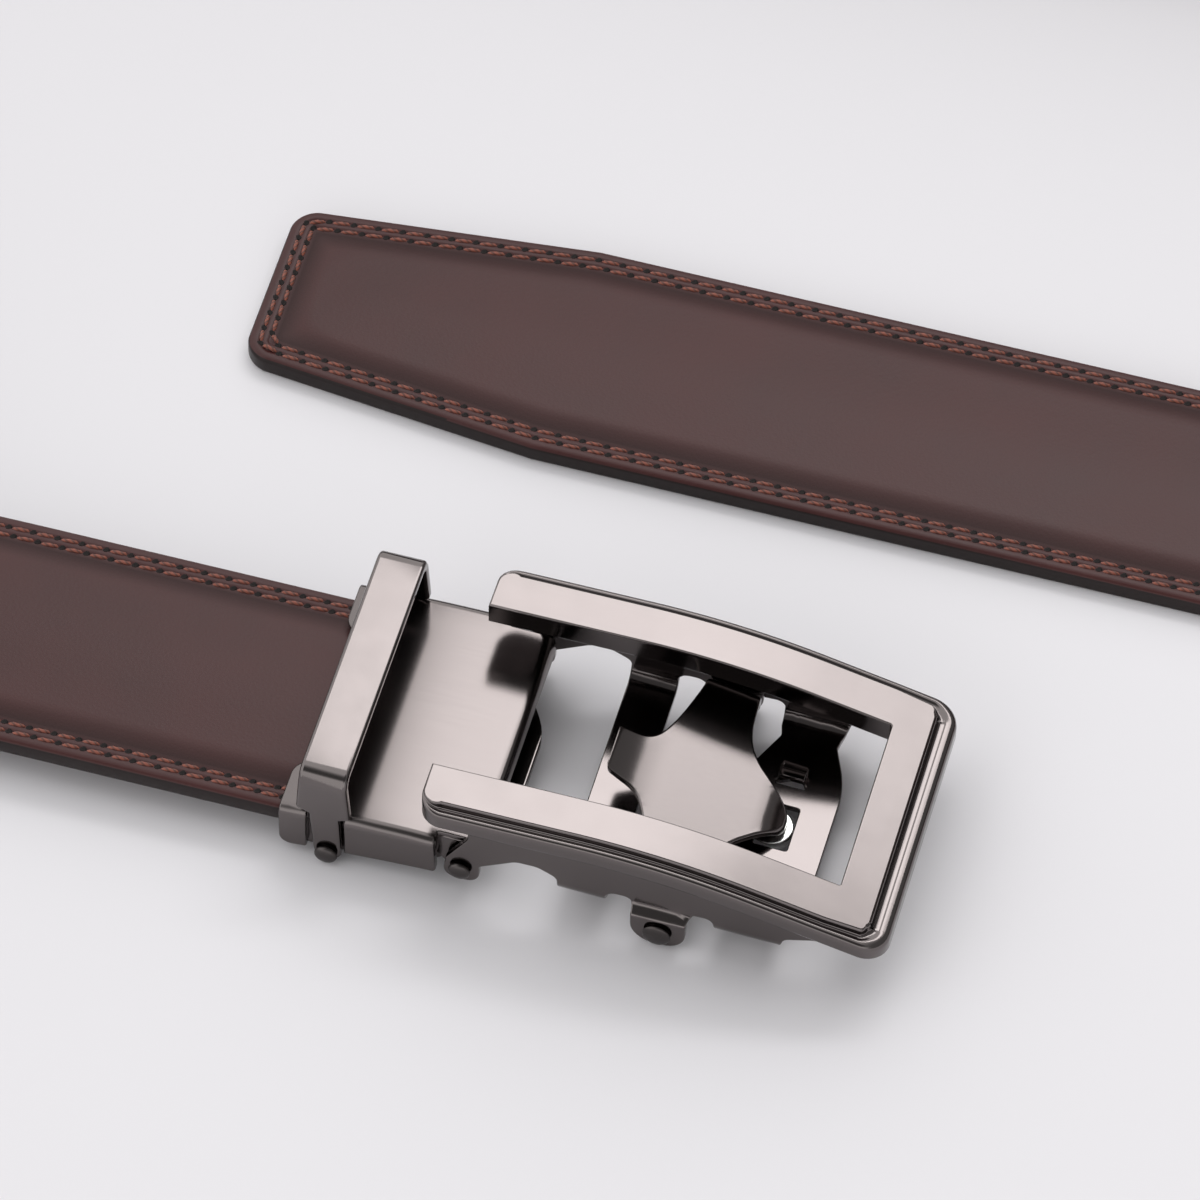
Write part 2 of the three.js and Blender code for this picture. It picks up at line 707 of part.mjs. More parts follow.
function basePlate() {
  const outer = baseWidth / 2;
  const lipX = baseRight - 0.8;
  const flangeSide = outline([
    ...baseLine(baseLeft, flangeRight, 0).reverse(),
    { x: baseLeft, y: flangeHeel, r: flangeCorner },
    { x: keeperPinX, y: flangeFoot },
    { x: flangeRightLow, y: flangeFootRight, r: 0.6 },
  ].reverse());
  const inside = outline([
    ...baseLine(baseLeft - 1, flangeRight + 1.5, baseSheet).reverse(),
    { x: baseLeft - 1, y: -1 },
    { x: flangeRight + 1.5, y: -1 },
  ].reverse());
  const fold = outline([
    { x: -outer, y: -1 },
    { x: outer, y: -1 },
    { x: outer, y: baseTop, r: 1 },
    { x: -outer, y: baseTop, r: 1 },
  ]);
  const recess = outline([
    { x: baseLeft - 2, y: 8 - outer },
    { x: baseLeft + baseRecess, y: 11 - outer, r: 4 },
    { x: baseLeft + baseRecess, y: outer - 11, r: 4 },
    { x: baseLeft - 2, y: outer - 8 },
  ]);
  const cover = plate(flangeSide, 'xz', -outer, outer)
    .subtract(plate(inside, 'xz', -outer + baseSheet, outer - baseSheet))
    .intersect(plate(fold, 'yz', baseLeft - 1, flangeRightLow + 1))
    .subtract(plate(recess, 'xy', baseTop / 2, 2 * baseTop));
  const legSlot = block(keeperPinX - 2.9, keeperPinX + 2.3, outer - baseSheet, outer + 1, -1, 2 * baseTop);
  const cheekSide = outline([
    { x: keeperPinX - cheekLeft, y: flangeHeel, r: 0.5 },
    { x: keeperPinX + cheekRight, y: flangeHeel, r: 0.5 },
    { x: keeperPinX + cheekRight, y: baseHeight(keeperPinX) - baseSheet / 2 },
    { x: keeperPinX - cheekLeft, y: baseHeight(keeperPinX) - baseSheet / 2 },
  ]);
  const cheekPlate = plate(cheekSide, 'xz', cheekInner, outer - baseSheet);
  const side = hingeInner + baseSheet;
  const lip = outline([
    ...baseLine(0, lipX, 0).reverse(),
    { x: 0, y: baseHeight(0) - baseSheet },
    { x: lipX - 0.8, y: baseHeight(lipX) - baseSheet },
    { x: baseRight - baseSheet, y: baseTop - baseRightDrop - 1.2 },
    { x: baseRight, y: baseTop - baseRightDrop - 1.2 },
    { x: baseRight, y: baseTop - baseRightDrop },
  ].reverse());
  const earSide = outline([
    { x: flangeRight - 1, y: hingeZ + 1 },
    { x: hingeX - 1, y: hingeZ - hingeEar, r: 1.6 },
    { x: hingeX + hingeEar - 0.2, y: hingeZ - hingeEar, r: 1.6 },
    { x: hingeX + hingeEar - 0.2, y: baseHeight(baseRight) - baseSheet / 2 },
    { x: flangeRight - 1, y: baseHeight(0) - baseSheet / 2 },
  ]);
  const ear = plate(earSide, 'xz', hingeInner, side);
  const wing = block(flangeRight - 1, flangeRight, hingeInner, outer - baseSheet / 2, hingeZ + 1, baseTop - baseSheet);
  return join(cover.subtract(bothSides(legSlot)), bothSides(cheekPlate), plate(lip, 'xz', -side, side),
    bothSides(ear), bothSides(wing))
    .subtract(bar(hingeX, hingeZ, hingeShaft + bore, -outer, outer))
    .subtract(bar(keeperPinX, keeperPinZ, keeperPinShaft + bore, -outer, outer));
}

// Keeper: a bridge over the strap on two legs, each held by a pin

function keeper() {
  const outer = keeperWidth / 2;
  const right = keeperLeft + keeperLength;
  const legLeft = keeperPinX - keeperLeg / 2 - 0.4;
  const bottom = keeperPinZ - keeperLeg / 2 + 0.5;
  const section = outline([
    { x: -outer, y: bottom - 1 },
    { x: -outer + keeperLegThick + 0.1, y: bottom - 1 },
    { x: -outer + keeperLegThick + 0.1, y: keeperShoulder },
    { x: -outer + keeperSheet - 0.1, y: keeperShoulder + 1 },
    { x: -outer + keeperSheet - 0.1, y: keeperTop - keeperSheet, r: 0.7 },
    { x: outer - keeperSheet + 0.1, y: keeperTop - keeperSheet, r: 0.7 },
    { x: outer - keeperSheet + 0.1, y: keeperShoulder + 1 },
    { x: outer - keeperLegThick - 0.1, y: keeperShoulder },
    { x: outer - keeperLegThick - 0.1, y: bottom - 1 },
    { x: outer, y: bottom - 1 },
    { x: outer, y: keeperTop, r: keeperCorner },
    { x: -outer, y: keeperTop, r: keeperCorner },
  ]);
  const side = outline([
    { x: legLeft + 0.7, y: bottom, r: 1.5 },
    { x: legLeft + keeperLeg + 0.3, y: bottom, r: 1.5 },
    { x: legLeft + keeperLeg, y: keeperShoulder + 0.5 },
    { x: right + keeperFlare, y: keeperShoulder + 1.1, r: 0.6 },
    { x: right, y: keeperTop, r: 0.9 },
    { x: keeperLeft, y: keeperTop, r: 0.9 },
    { x: keeperLeft - keeperFlare, y: keeperShoulder + 1.6, r: 0.6 },
    { x: legLeft, y: keeperShoulder + 1 },
  ]);
  return plate(section, 'yz', keeperLeft - 2, right + 2)
    .intersect(plate(side, 'xz', -outer, outer))
    .subtract(bar(keeperPinX, keeperPinZ, keeperPinShaft + bore, -outer, outer));
}

// Clamp lever: a toothed plate under the strap's end that swings down on the keeper's pins

function clampLever() {
  const outer = cheekInner - gap;
  const tip = leverTipWidth / 2;
  const sweep = leverTipRadius - Math.sqrt(leverTipRadius ** 2 - tip ** 2);
  const plan = outline([
    { x: leverStart, y: -outer, r: 0.5 },
    { x: strapEndX + 0.5, y: -outer, r: 3 },
    { x: leverTipX - sweep, y: -tip, r: 1.5 },
    { x: leverTipX, y: -tip / 2, r: leverTipRadius / 2 },
    { x: leverTipX, y: tip / 2, r: leverTipRadius / 2 },
    { x: leverTipX - sweep, y: tip, r: 1.5 },
    { x: strapEndX + 0.5, y: outer, r: 3 },
    { x: leverStart, y: outer, r: 0.5 },
  ]);
  const side = outline([
    { x: leverStart, y: leverTop - leverSheet },
    { x: strapEndX + 1, y: leverTop - leverSheet, r: 5 },
    { x: leverTipX, y: leverTop - leverSheet + leverTipRise, r: 0.3 },
    { x: leverTipX, y: leverTop + leverTipRise, r: 0.3 },
    { x: strapEndX + 1, y: leverTop, r: 5 },
    { x: leverStart, y: leverTop },
  ]);
  const teeth = Array.from({ length: leverTeeth }, (_, i) => {
    const x = leverStart + 1 + i * leverToothPitch;
    const tooth = outline([
      { x, y: leverTop - leverSheet / 2 },
      { x: x + leverToothPitch * 0.6, y: leverTop - leverSheet / 2 },
      { x: x + leverToothPitch * 0.6, y: leverTop + leverToothRise },
    ]);
    return plate(tooth, 'xz', -outer + 1, outer - 1);
  });
  const ear = join(
    bar(keeperPinX, keeperPinZ, leverEarRadius, outer - leverEar, outer),
    block(keeperPinX, leverStart + 1, outer - leverEar, outer, keeperPinZ - leverEarRadius * 0.5, leverTop),
  );
  return join(plate(plan, 'xy', 0, 2 * leverTop).intersect(plate(side, 'xz', -outer, outer)), bothSides(ear), ...teeth)
    .subtract(bar(keeperPinX, keeperPinZ, keeperPinShaft + bore, -outer, outer));
}

// Finishes and assembly

const finish = (color, roughness, metalness) => new THREE.MeshStandardMaterial({ color, roughness, metalness });
const leather = finish(0x55302e, 0.45, 0);
const polymer = finish(0x1c1a1a, 0.5, 0);
const gunmetal = finish(0x6f6866, 0.22, 1);
const brushed = finish(0x857d7a, 0.35, 1);
const nickel = finish(0xcfcdc9, 0.18, 1);

const belt = new THREE.Group();

function add(name, solid, material) {
  const mesh = new THREE.Mesh(geometryOf(solid), material);
  mesh.name = name;
  belt.add(mesh);
}

add('strap', strap(), leather);
add('ratchet_track', ratchetTrack(), polymer);
add('face_frame', faceFrame(), gunmetal);
add('chassis', chassis(), gunmetal);
add('base_plate', basePlate(), brushed);
add('keeper', keeper(), gunmetal);
add('clamp_lever', clampLever(), brushed);
add('pawl', pawl(), gunmetal);
add('pawl_pin', pawlPin(), gunmetal);
add('magnet', magnet(), nickel);
add('hinge_pin_far', hingePin(), gunmetal);
add('hinge_pin_near', mirrored(hingePin()), gunmetal);
add('keeper_pin_far', keeperPin(), gunmetal);
add('keeper_pin_near', mirrored(keeperPin()), gunmetal);

const middle = new THREE.Box3().setFromObject(belt).getCenter(new THREE.Vector3());
belt.position.set(-middle.x, -middle.y, 0);

export default belt;
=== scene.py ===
"""Dresses the ratchet belt: stitched leather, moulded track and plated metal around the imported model."""

import json
import math

import bpy
import numpy as np
from bpy.props import FloatProperty, PointerProperty, StringProperty
from mathutils import Matrix, Vector
from mathutils.geometry import delaunay_2d_cdt


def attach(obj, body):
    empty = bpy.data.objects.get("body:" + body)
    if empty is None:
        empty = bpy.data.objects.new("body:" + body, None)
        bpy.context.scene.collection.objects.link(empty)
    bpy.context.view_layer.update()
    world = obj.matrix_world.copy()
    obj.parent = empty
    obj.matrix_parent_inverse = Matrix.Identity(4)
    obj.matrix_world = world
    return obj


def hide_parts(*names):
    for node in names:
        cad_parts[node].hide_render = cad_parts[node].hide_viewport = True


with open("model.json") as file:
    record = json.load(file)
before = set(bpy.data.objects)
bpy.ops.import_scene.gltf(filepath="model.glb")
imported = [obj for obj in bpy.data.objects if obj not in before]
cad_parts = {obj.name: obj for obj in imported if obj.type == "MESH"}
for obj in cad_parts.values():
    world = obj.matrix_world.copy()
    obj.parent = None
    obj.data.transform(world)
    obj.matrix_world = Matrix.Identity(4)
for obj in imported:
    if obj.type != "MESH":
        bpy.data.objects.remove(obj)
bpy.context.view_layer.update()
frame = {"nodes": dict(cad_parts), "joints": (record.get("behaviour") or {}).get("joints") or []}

bl_info = {
    "name": "Ratchet Belt",
    "version": (1, 0, 0),
    "blender": (4, 5, 0),
    "location": "View3D > Sidebar > Belt",
    "description": "Makes a stitched leather ratchet belt with a gunmetal buckle",
    "category": "Add Mesh",
}

MM = 0.001
SENSOR = 36

# Pins on the middle of the buckle, in millimetres from the open ends of the face frame's rails
HINGE = Vector((5.3, 0, 4.3))
PAWL_PIN = Vector((32.3, 0, 2.6))
KEEPER_PIN = Vector((-12.6, 0, 1.75))
hinge_joint = next(j for j in frame["joints"] if j["name"] == "face_hinge")
BUCKLE = Vector(hinge_joint["pos_m"]) - HINGE * MM


def placed(x, y, z):
    """A point in buckle millimetres as a point of the model, in metres."""
    return BUCKLE + Vector((x, y, z)) * MM


# Settings that a user would change


class BELT_PG_finish(bpy.types.PropertyGroup):
    plate_hex: StringProperty(name="Polished plating", description="Colour of polished gunmetal", default="#6b6564")
    satin_hex: StringProperty(name="Satin plating", description="Colour of brushed gunmetal", default="#6b6564")
    leather_hex: StringProperty(name="Leather", description="Colour of the leather's face", default="#401f1e")
    edge_hex: StringProperty(name="Edge paint", description="Colour of the painted edges", default="#1d1312")
    lining_hex: StringProperty(name="Lining", description="Colour of the leather's back", default="#3b2420")
    thread_hex: StringProperty(name="Thread", description="Colour of the stitching", default="#80412e")
    floor_hex: StringProperty(name="Floor", description="Colour of the backdrop", default="#e6e4e7")


class BELT_PG_strap(bpy.types.PropertyGroup):
    outer_row: FloatProperty(name="Outer row", description="From the edge to the outer row of stitches",
                             default=0.0017, unit="LENGTH")
    inner_row: FloatProperty(name="Inner row", description="From the edge to the inner row of stitches",
                             default=0.0030, unit="LENGTH")
    pitch: FloatProperty(name="Stitch", description="Length of a stitch at the sides", default=0.0034, unit="LENGTH")
    thread: FloatProperty(name="Thread", description="Thickness of the thread", default=0.0005, unit="LENGTH")


class BELT_PG_stage(bpy.types.PropertyGroup):
    elevation: FloatProperty(name="Elevation", description="Camera's height above the horizon",
                             default=math.radians(55.08), subtype="ANGLE")
    azimuth: FloatProperty(name="Azimuth", description="Camera's turn round the belt",
                           default=math.radians(16.26), subtype="ANGLE")
    distance: FloatProperty(name="Distance", description="From the camera to the buckle", default=1.2, unit="LENGTH")
    lens: FloatProperty(name="Lens", description="Focal length in millimetres on a 36 mm sensor", default=274.56)
    box_light: FloatProperty(name="Softbox", description="Radiance of the softbox behind the belt", default=4.1)
    room_light: FloatProperty(name="Room", description="Radiance of the room's fill light", default=1.47)


# Colours and nodes


def linear(hex_colour):
    """sRGB hex to linear RGBA."""
    values = [int(hex_colour[i:i + 2], 16) / 255 for i in (1, 3, 5)]
    return (*[v / 12.92 if v <= 0.04045 else ((v + 0.055) / 1.055) ** 2.4 for v in values], 1.0)


def shade(hex_colour, factor):
    """The colour with its linear values multiplied."""
    return (*[v * factor for v in linear(hex_colour)[:3]], 1.0)


def add(tree, kind, inputs, out=0, **settings):
    """Adds a node with its settings, sets or links its inputs, and gives one of its outputs."""
    node = tree.nodes.new("ShaderNode" + kind)
    for key, value in settings.items():
        setattr(node, key, value)
    connect(tree, node, inputs)
    return node.outputs[out]


def connect(tree, node, inputs):
    for key, value in inputs.items():
        if isinstance(value, bpy.types.NodeSocket):
            tree.links.new(value, node.inputs[key])
        else:
            node.inputs[key].default_value = value


def material(name, **inputs):
    """A new material, its node tree and its Principled shader."""
    made = bpy.data.materials.new(name)
    made.use_nodes = True
    tree = made.node_tree
    surface = tree.nodes["Principled BSDF"]
    connect(tree, surface, {key.replace("_", " "): value for key, value in inputs.items()})
    return made, tree, surface


def per_mm(size):
    """Texture scale, per metre, of a pattern whose cells are this many millimetres."""
    return 1 / (size * MM)


def ramp(tree, fac, stops):
    tone = add(tree, "ValToRGB", {"Fac": fac})
    elements = tone.node.color_ramp.elements
    for element, (position, colour) in zip([*elements, *[elements.new(1) for _ in stops[2:]]], stops):
        element.position = position
        element.color = colour
    return tone


def grained(tree, surface, size, detail, rough=None, bump=None, **inputs):
    """Noise over a surface, with cells of size millimetres. It spreads the roughness between two values and
    raises a bump, given as strength and depth in millimetres."""
    if "Vector" not in inputs:
        inputs["Vector"] = add(tree, "TexCoord", {}, "Object")
    noise = add(tree, "TexNoise", {"Scale": per_mm(size), "Detail": detail, **inputs})
    if rough:
        level = add(tree, "MapRange", {"Value": noise, "To Min": rough[0], "To Max": rough[1]})
        connect(tree, surface, {"Roughness": level})
    if bump:
        raised = add(tree, "Bump", {"Height": noise, "Strength": bump[0], "Distance": bump[1] * MM})
        connect(tree, surface, {"Normal": raised})
    return noise


def polished_gunmetal():
    """Gunmetal plating on zinc and steel, polished: dark grey-brown, and mirrors the softbox and the floor.
    A haze of 6 mm and a very soft waviness of 2.5 mm keep its reflections from being perfect."""
    made, tree, surface = material("polished_gunmetal_plating", Metallic=1.0,
                                   Base_Color=linear(bpy.context.scene.belt_finish.plate_hex))
    grained(tree, surface, 6, 3.0, rough=(0.10, 0.17))
    grained(tree, surface, 2.5, 1.0, bump=(0.25, 0.01))
    return made


def satin_gunmetal():
    """The same plating over brushed sheet: blurs its reflections, and shows faint lines 0.3 mm apart along X."""
    made, tree, surface = material("brushed_gunmetal_plating", Metallic=1.0,
                                   Base_Color=linear(bpy.context.scene.belt_finish.satin_hex))
    place = add(tree, "TexCoord", {}, "Object")
    along = add(tree, "Mapping", {"Vector": place, "Scale": (0.04, 1.0, 1.0)})
    grained(tree, surface, 0.3, 2.0, (0.165, 0.195), (0.05, 0.01), Vector=along)
    return made


def cast_gunmetal():
    """Plated rivet heads, left as they were pressed: dark, dull and slightly pitted."""
    made, tree, surface = material("pressed_rivet_plating", Metallic=1.0, Base_Color=linear("#4f4b4a"))
    grained(tree, surface, 0.5, 4.0, (0.25, 0.5), (0.5, 0.05))
    return made


def bright_nickel():
    """Nickel plating on the magnet: bright and almost white, with a faint haze."""
    made, tree, surface = material("bright_nickel_plating", Metallic=1.0, Base_Color=linear("#d9dad8"))
    grained(tree, surface, 1.2, 3.0, (0.14, 0.28))
    return made


# The band beside the stitching, duller and darkened with painted shade: where it starts, is darkest and ends,
# in millimetres from the strap's edge
SHADE_AND_DULL_BAND = (3.0, 3.9, 6.6)
BAND_SCALE = 10.0


def face_leather():
    """Corrected-grain cowhide, dyed dark brown and waxed: smooth, with a fine grain of 0.5 mm that only the
    highlight shows, a duller band beside the stitching darkened with painted shade, and slow changes in its polish."""
    hex_colour = bpy.context.scene.belt_finish.leather_hex
    made, tree, surface = material("waxed_brown_cowhide", Specular_IOR_Level=0.3)
    cloud = grained(tree, surface, 22, 5.0, Roughness=0.6)
    tone = ramp(tree, cloud, [(0.3, shade(hex_colour, 0.86)), (0.7, shade(hex_colour, 1.12))])
    rim = add(tree, "Attribute", {}, "Fac", attribute_name="rim_mm")
    across = add(tree, "MapRange", {"Value": rim, "From Max": BAND_SCALE})
    black, white = (0, 0, 0, 1), (1, 1, 1, 1)
    shade_and_dull_band = ramp(tree, across, [(mm / BAND_SCALE, level) for mm, level in zip(SHADE_AND_DULL_BAND, (black, white, black))])
    # Painted shade: the leather beside the stitching is darkened to half its colour
    colour = add(tree, "Mix", {"Factor": shade_and_dull_band, "A": tone, "B": shade(hex_colour, 0.5)}, "Result", data_type="RGBA")
    pores = add(tree, "TexVoronoi", {"Vector": add(tree, "TexCoord", {}, "Object"), "Scale": per_mm(0.5),
                                     "Randomness": 1.0})
    height = add(tree, "Math", {0: pores, 1: grained(tree, surface, 0.25, 3.0)}, operation="ADD")
    bump = add(tree, "Bump", {"Height": height, "Strength": 0.35, "Distance": 0.03 * MM})
    polish = add(tree, "MapRange", {"Value": cloud, "To Min": 0.33, "To Max": 0.43})
    dull = add(tree, "MapRange", {"Value": shade_and_dull_band, "To Min": polish, "To Max": 0.62})
    connect(tree, surface, {"Base Color": colour, "Roughness": dull, "Normal": bump})
    return made


def lining_leather():
    """Split leather on the back: matt, with a short nap of 0.4 mm."""
    hex_colour = bpy.context.scene.belt_finish.lining_hex
    made, tree, surface = material("brown_split_leather", Sheen_Weight=0.15, Roughness=0.75)
    nap = grained(tree, surface, 0.4, 5.0, bump=(0.5, 0.08), Roughness=0.7)
    tone = ramp(tree, nap, [(0.3, shade(hex_colour, 0.8)), (0.7, shade(hex_colour, 1.25))])
    connect(tree, surface, {"Base Color": tone})
    return made


def edge_paint():
    """Acrylic edge paint, brushed on in two coats: nearly black, half gloss, with long soft waves."""
    made, tree, surface = material("acrylic_edge_paint", Specular_IOR_Level=0.25,
                                   Base_Color=linear(bpy.context.scene.belt_finish.edge_hex))
    grained(tree, surface, 1.4, 3.0, (0.3, 0.5), (0.4, 0.06))
    return made


def waxed_thread():
    """Bonded polyester thread of two plies, with painted shade in dark lines between the plies that run round it
    every millimetre.
    """
    hex_colour = bpy.context.scene.belt_finish.thread_hex
    made, tree, surface = material("waxed_polyester_thread", Roughness=0.55, Sheen_Weight=0.2)
    along = add(tree, "SeparateXYZ", {"Vector": add(tree, "UVMap", {}, uv_map="ply")})
    phase = add(tree, "Math", {0: along, 1: along.node.outputs["Y"]}, operation="ADD")
    angle = add(tree, "Math", {0: phase, 1: 2 * math.pi}, operation="MULTIPLY")
    ply = add(tree, "Math", {0: angle}, operation="SINE")
    level = add(tree, "MapRange", {"Value": ply, "From Min": -1.0, "From Max": 0.3})
    # Painted shade: the colour darkens to a third along the lines between the plies
    tone = ramp(tree, level, [(0.0, shade(hex_colour, 0.35)), (1.0, shade(hex_colour, 1.0))])
    connect(tree, surface, {"Base Color": tone})
    return made


def hole_shade_finish():
    """Painted shade of the awl's holes: near black, for bare dyed leather in their shadow."""
    made, tree, surface = material("painted_hole_shade", Roughness=0.9, Base_Color=linear("#120a08"))
    grained(tree, surface, 0.2, 2.0, bump=(0.5, 0.05))
    return made


def moulded_track():
    """Injection-moulded acetal: black, half matt, with the fine spark grain of its mould."""
    made, tree, surface = material("moulded_acetal", Base_Color=linear("#1b1a1b"))
    grained(tree, surface, 0.3, 3.0, (0.4, 0.55), (0.25, 0.02))
    return made


FINISHES = {}


def finish_of(maker):
    """The material that a maker function makes, made once."""
    if maker not in FINISHES:
        FINISHES[maker] = maker()
    return FINISHES[maker]


# Outlines in millimetres, as rows of x, y and a corner radius


def rounded(rows, steps=6):
    """Points of a closed outline whose corners are rounded by their own radius."""
    points = []
    for i, row in enumerate(rows):
        here = Vector(row[:2])
        radius = row[2] if len(row) > 2 else 0
        back = Vector(rows[i - 1][:2]) - here
        ahead = Vector(rows[(i + 1) % len(rows)][:2]) - here
        room = 0.49 * min(back.length, ahead.length)
        back.normalize()
        ahead.normalize()
        half = back.angle(ahead) / 2
        reach = min(radius / math.tan(half), room) if radius and half < 1.55 else 0
        if reach < 0.02:
            points.append(here)
            continue
        middle = here + (back + ahead).normalized() * (reach / math.cos(half))
        start = here + back * reach - middle
        turn = math.pi - 2 * half
        way = 1 if back.x * ahead.y - back.y * ahead.x < 0 else -1
        points += [middle + Matrix.Rotation(way * turn * k / steps, 2) @ start for k in range(steps + 1)]
    return points


def flowing(stations, steps=5):
    """Points of a smooth curve through the stations (a Catmull-Rom spline)."""
    p = [Vector(s) for s in (stations[0], *stations, stations[-1])]
    curve = [0.5 * (2 * b + (c - a) * t + (2 * a - 5 * b + 4 * c - d) * t ** 2 + (3 * b - a - 3 * c + d) * t ** 3)
             for a, b, c, d in zip(p, p[1:], p[2:], p[3:]) for t in (k / steps for k in range(steps))]
    return [tuple(q) for q in curve] + [tuple(p[-1])]


def both(rows):
    """An outline's rows for y above 0, in order from one end to the other, closed by their mirror image."""
    return list(rows) + [(row[0], -row[1], *row[2:]) for row in reversed(rows)]


def area(loop):
    return sum(a.x * b.y - b.x * a.y for a, b in zip(loop, loop[1:] + loop[:1])) / 2


def inside(point, loop):
    hit = False
    for a, b in zip(loop, loop[1:] + loop[:1]):
        if (a.y > point.y) != (b.y > point.y) and point.x < a.x + (b.x - a.x) * (point.y - a.y) / (b.y - a.y):
            hit = not hit
    return hit


def cut_at(loop, xs, ys, longest):
    """The loop with points where it crosses the lines, and no edge longer than longest."""
    result = []
    for i, a in enumerate(loop):
        span = loop[(i + 1) % len(loop)] - a
        marks = {0.0}
        for axis, lines in ((0, xs), (1, ys)):
            if abs(span[axis]) > 1e-6:
                marks.update(t for t in ((line - a[axis]) / span[axis] for line in lines) if 0.02 < t < 0.98)
        marks = sorted(marks)
        for t, following in zip(marks, marks[1:] + [1.0]):
            parts = max(1, math.ceil((following - t) * span.length / longest))
            result.extend(a + span * (t + (following - t) * k / parts) for k in range(parts))
    return [p for i, p in enumerate(result) if (p - result[i - 1]).length > 0.03]


def inward(loop):
    """For each point of a loop, the vector that insets both its edges by 1."""
    vectors = []
    for i, here in enumerate(loop):
        a = (here - loop[i - 1]).normalized()
        b = (loop[(i + 1) % len(loop)] - here).normalized()
        na, nb = Vector((-a.y, a.x)), Vector((-b.y, b.x))
        mean = (na + nb).normalized() if (na + nb).length > 0.05 else na
        vectors.append(mean / max(mean.dot(na), 0.5))
    return vectors


def spread(low, high, step):
    count = max(1, round((high - low) / step))
    return [low + (high - low) * k / count for k in range(count + 1)]


def edge_rows(thick, radius, steps=3):
    """Rows of inset and height round the edge of a plate, from its lower face to its upper face."""
    lower = [(radius * (1 - math.sin(a)), -thick / 2 + radius * (1 - math.cos(a)))
             for a in (math.pi / 2 * k / steps for k in range(steps + 1))]
    return lower + [(inset, -height) for inset, height in reversed(lower)]


class Part:
    """Points in buckle millimetres, the faces between them, and the edges that stay sharp."""

    def __init__(self, points, faces, sharp):
        self.points, self.faces, self.sharp = points, faces, sharp

    def bent(self, bend):
        self.points = [Vector(bend(*p)) for p in self.points]
        return self

    def mirrored(self):
        return Part([Vector((p.x, -p.y, p.z)) for p in self.points], [face[::-1] for face in self.faces], self.sharp)


class Sheet(Part):
    """A plate cut to an outline, with shaped edges, ready to be bent by a function. It has points where the xs
    cross the ys, unless they lie closer than clear to an edge, and no edge of the outline is over longest."""

    def __init__(self, outline, rows, holes=(), xs=(), ys=(), longest=4.0, clear=0.45, shape=None):
        super().__init__([], [], [])
        loops = [outline if area(outline) > 0 else outline[::-1]]
        loops += [hole if area(hole) < 0 else hole[::-1] for hole in holes]
        rings, rims = [], []
        for loop in (cut_at(loop, xs, ys, longest) for loop in loops):
            first, count = len(self.points), len(loop)
            steps = inward(loop)
            for row in rows:
                for p, n in zip(loop, steps):
                    inset, height = shape(row, p) if shape else row
                    self.points.append(Vector((*(p + n * inset), height)))
            for level in range(len(rows) - 1):
                for i in range(count):
                    a = first + level * count + i
                    b = first + level * count + (i + 1) % count
                    self.faces.append((a, b, b + count, a + count))
            for start in (first, first + (len(rows) - 1) * count):
                self.sharp += [(start + i, start + (i + 1) % count) for i in range(count)]
            rings.append((first, count))
            rims.append([self.points[first + (len(rows) - 1) * count + i].xy for i in range(count)])
        inner = [Vector((x, y)) for x in xs for y in ys]
        inner = [p for p in inner if inside(p, rims[0]) and not any(inside(p, rim) for rim in rims[1:])]
        inner = [p for p in inner if all((q - p).length > clear for rim in rims for q in rim)]
        self.cap(rings, rims, inner, len(rows))

    def cap(self, rings, rims, inner, levels):
        edges, start = [], 0
        for rim in rims:
            edges += [(start + i, start + (i + 1) % len(rim)) for i in range(len(rim))]
            start += len(rim)
        flat = [p for rim in rims for p in rim] + inner
        places, _, faces, origins, _, _ = delaunay_2d_cdt(flat, edges, [], 1, 1e-5)
        middles = [sum((places[v] for v in face), Vector((0, 0))) / 3 for face in faces]
        faces = [face for face, middle in zip(faces, middles)
                 if inside(middle, rims[0]) and not any(inside(middle, rim) for rim in rims[1:])]
        for level in (0, levels - 1):
            index = [first + level * count + i for first, count in rings for i in range(count)]
            height = self.points[index[0]].z
            for p in inner:
                index.append(len(self.points))
                self.points.append(Vector((p.x, p.y, height)))
            for face in faces:
                corners = [index[origins[v][0]] for v in face]
                self.faces.append(corners if level else corners[::-1])


def folded(across, height, flat, radius, way):
    """Where a flat sheet's point goes when its sides fold at right angles, way 1 up or -1 down."""
    side = abs(across) - flat
    if side <= 0:
        return across, height
    a = min(side / radius, math.pi / 2)
    rest = max(side - radius * math.pi / 2, 0)
    arm = radius - way * height
    return math.copysign(flat + arm * math.sin(a), across), way * (radius - arm * math.cos(a) + rest)


def turned_down(flat, radius, middle):
    """A function that gives an outline's row for a point at height z on a side turned down from a sheet."""
    return lambda x, z, corner=0: (x, flat + radius * math.pi / 2 + middle(x) - radius - z, corner)


def fold_lines(flat, radius, steps=6):
    """Lines where a sheet needs points to fold on both sides."""
    stops = [flat + radius * math.pi / 2 * k / steps for k in range(steps + 1)]
    return sorted([-s for s in stops] + stops)


def lathe(profile, place, axis="Y", segments=40):
    """A turned part: rows of radius and distance along an axis through place."""
    points, faces = [], []
    for radius, along in profile:
        for k in range(segments):
            a = 2 * math.pi * k / segments
            u, v = radius * math.cos(a), radius * math.sin(a)
            points.append(place + (Vector((u, along, v)) if axis == "Y" else Vector((v, u, along))))
    for level in range(len(profile) - 1):
        for k in range(segments):
            a, b = level * segments + k, level * segments + (k + 1) % segments
            faces.append((a, a + segments, b + segments, b))
    last = (len(profile) - 1) * segments
    faces += [tuple(range(segments)), tuple(last + k for k in reversed(range(segments)))]
    return Part(points, faces, [])


def new_mesh(name, points, faces, *makers):
    """A mesh from points in buckle millimetres, with a slot for each maker's finish."""
    mesh = bpy.data.meshes.new(name)
    mesh.from_pydata((np.array(BUCKLE) + np.reshape(points, (-1, 3)) * MM).tolist(), [], faces)
    for maker in makers:
        mesh.materials.append(finish_of(maker))
    return mesh


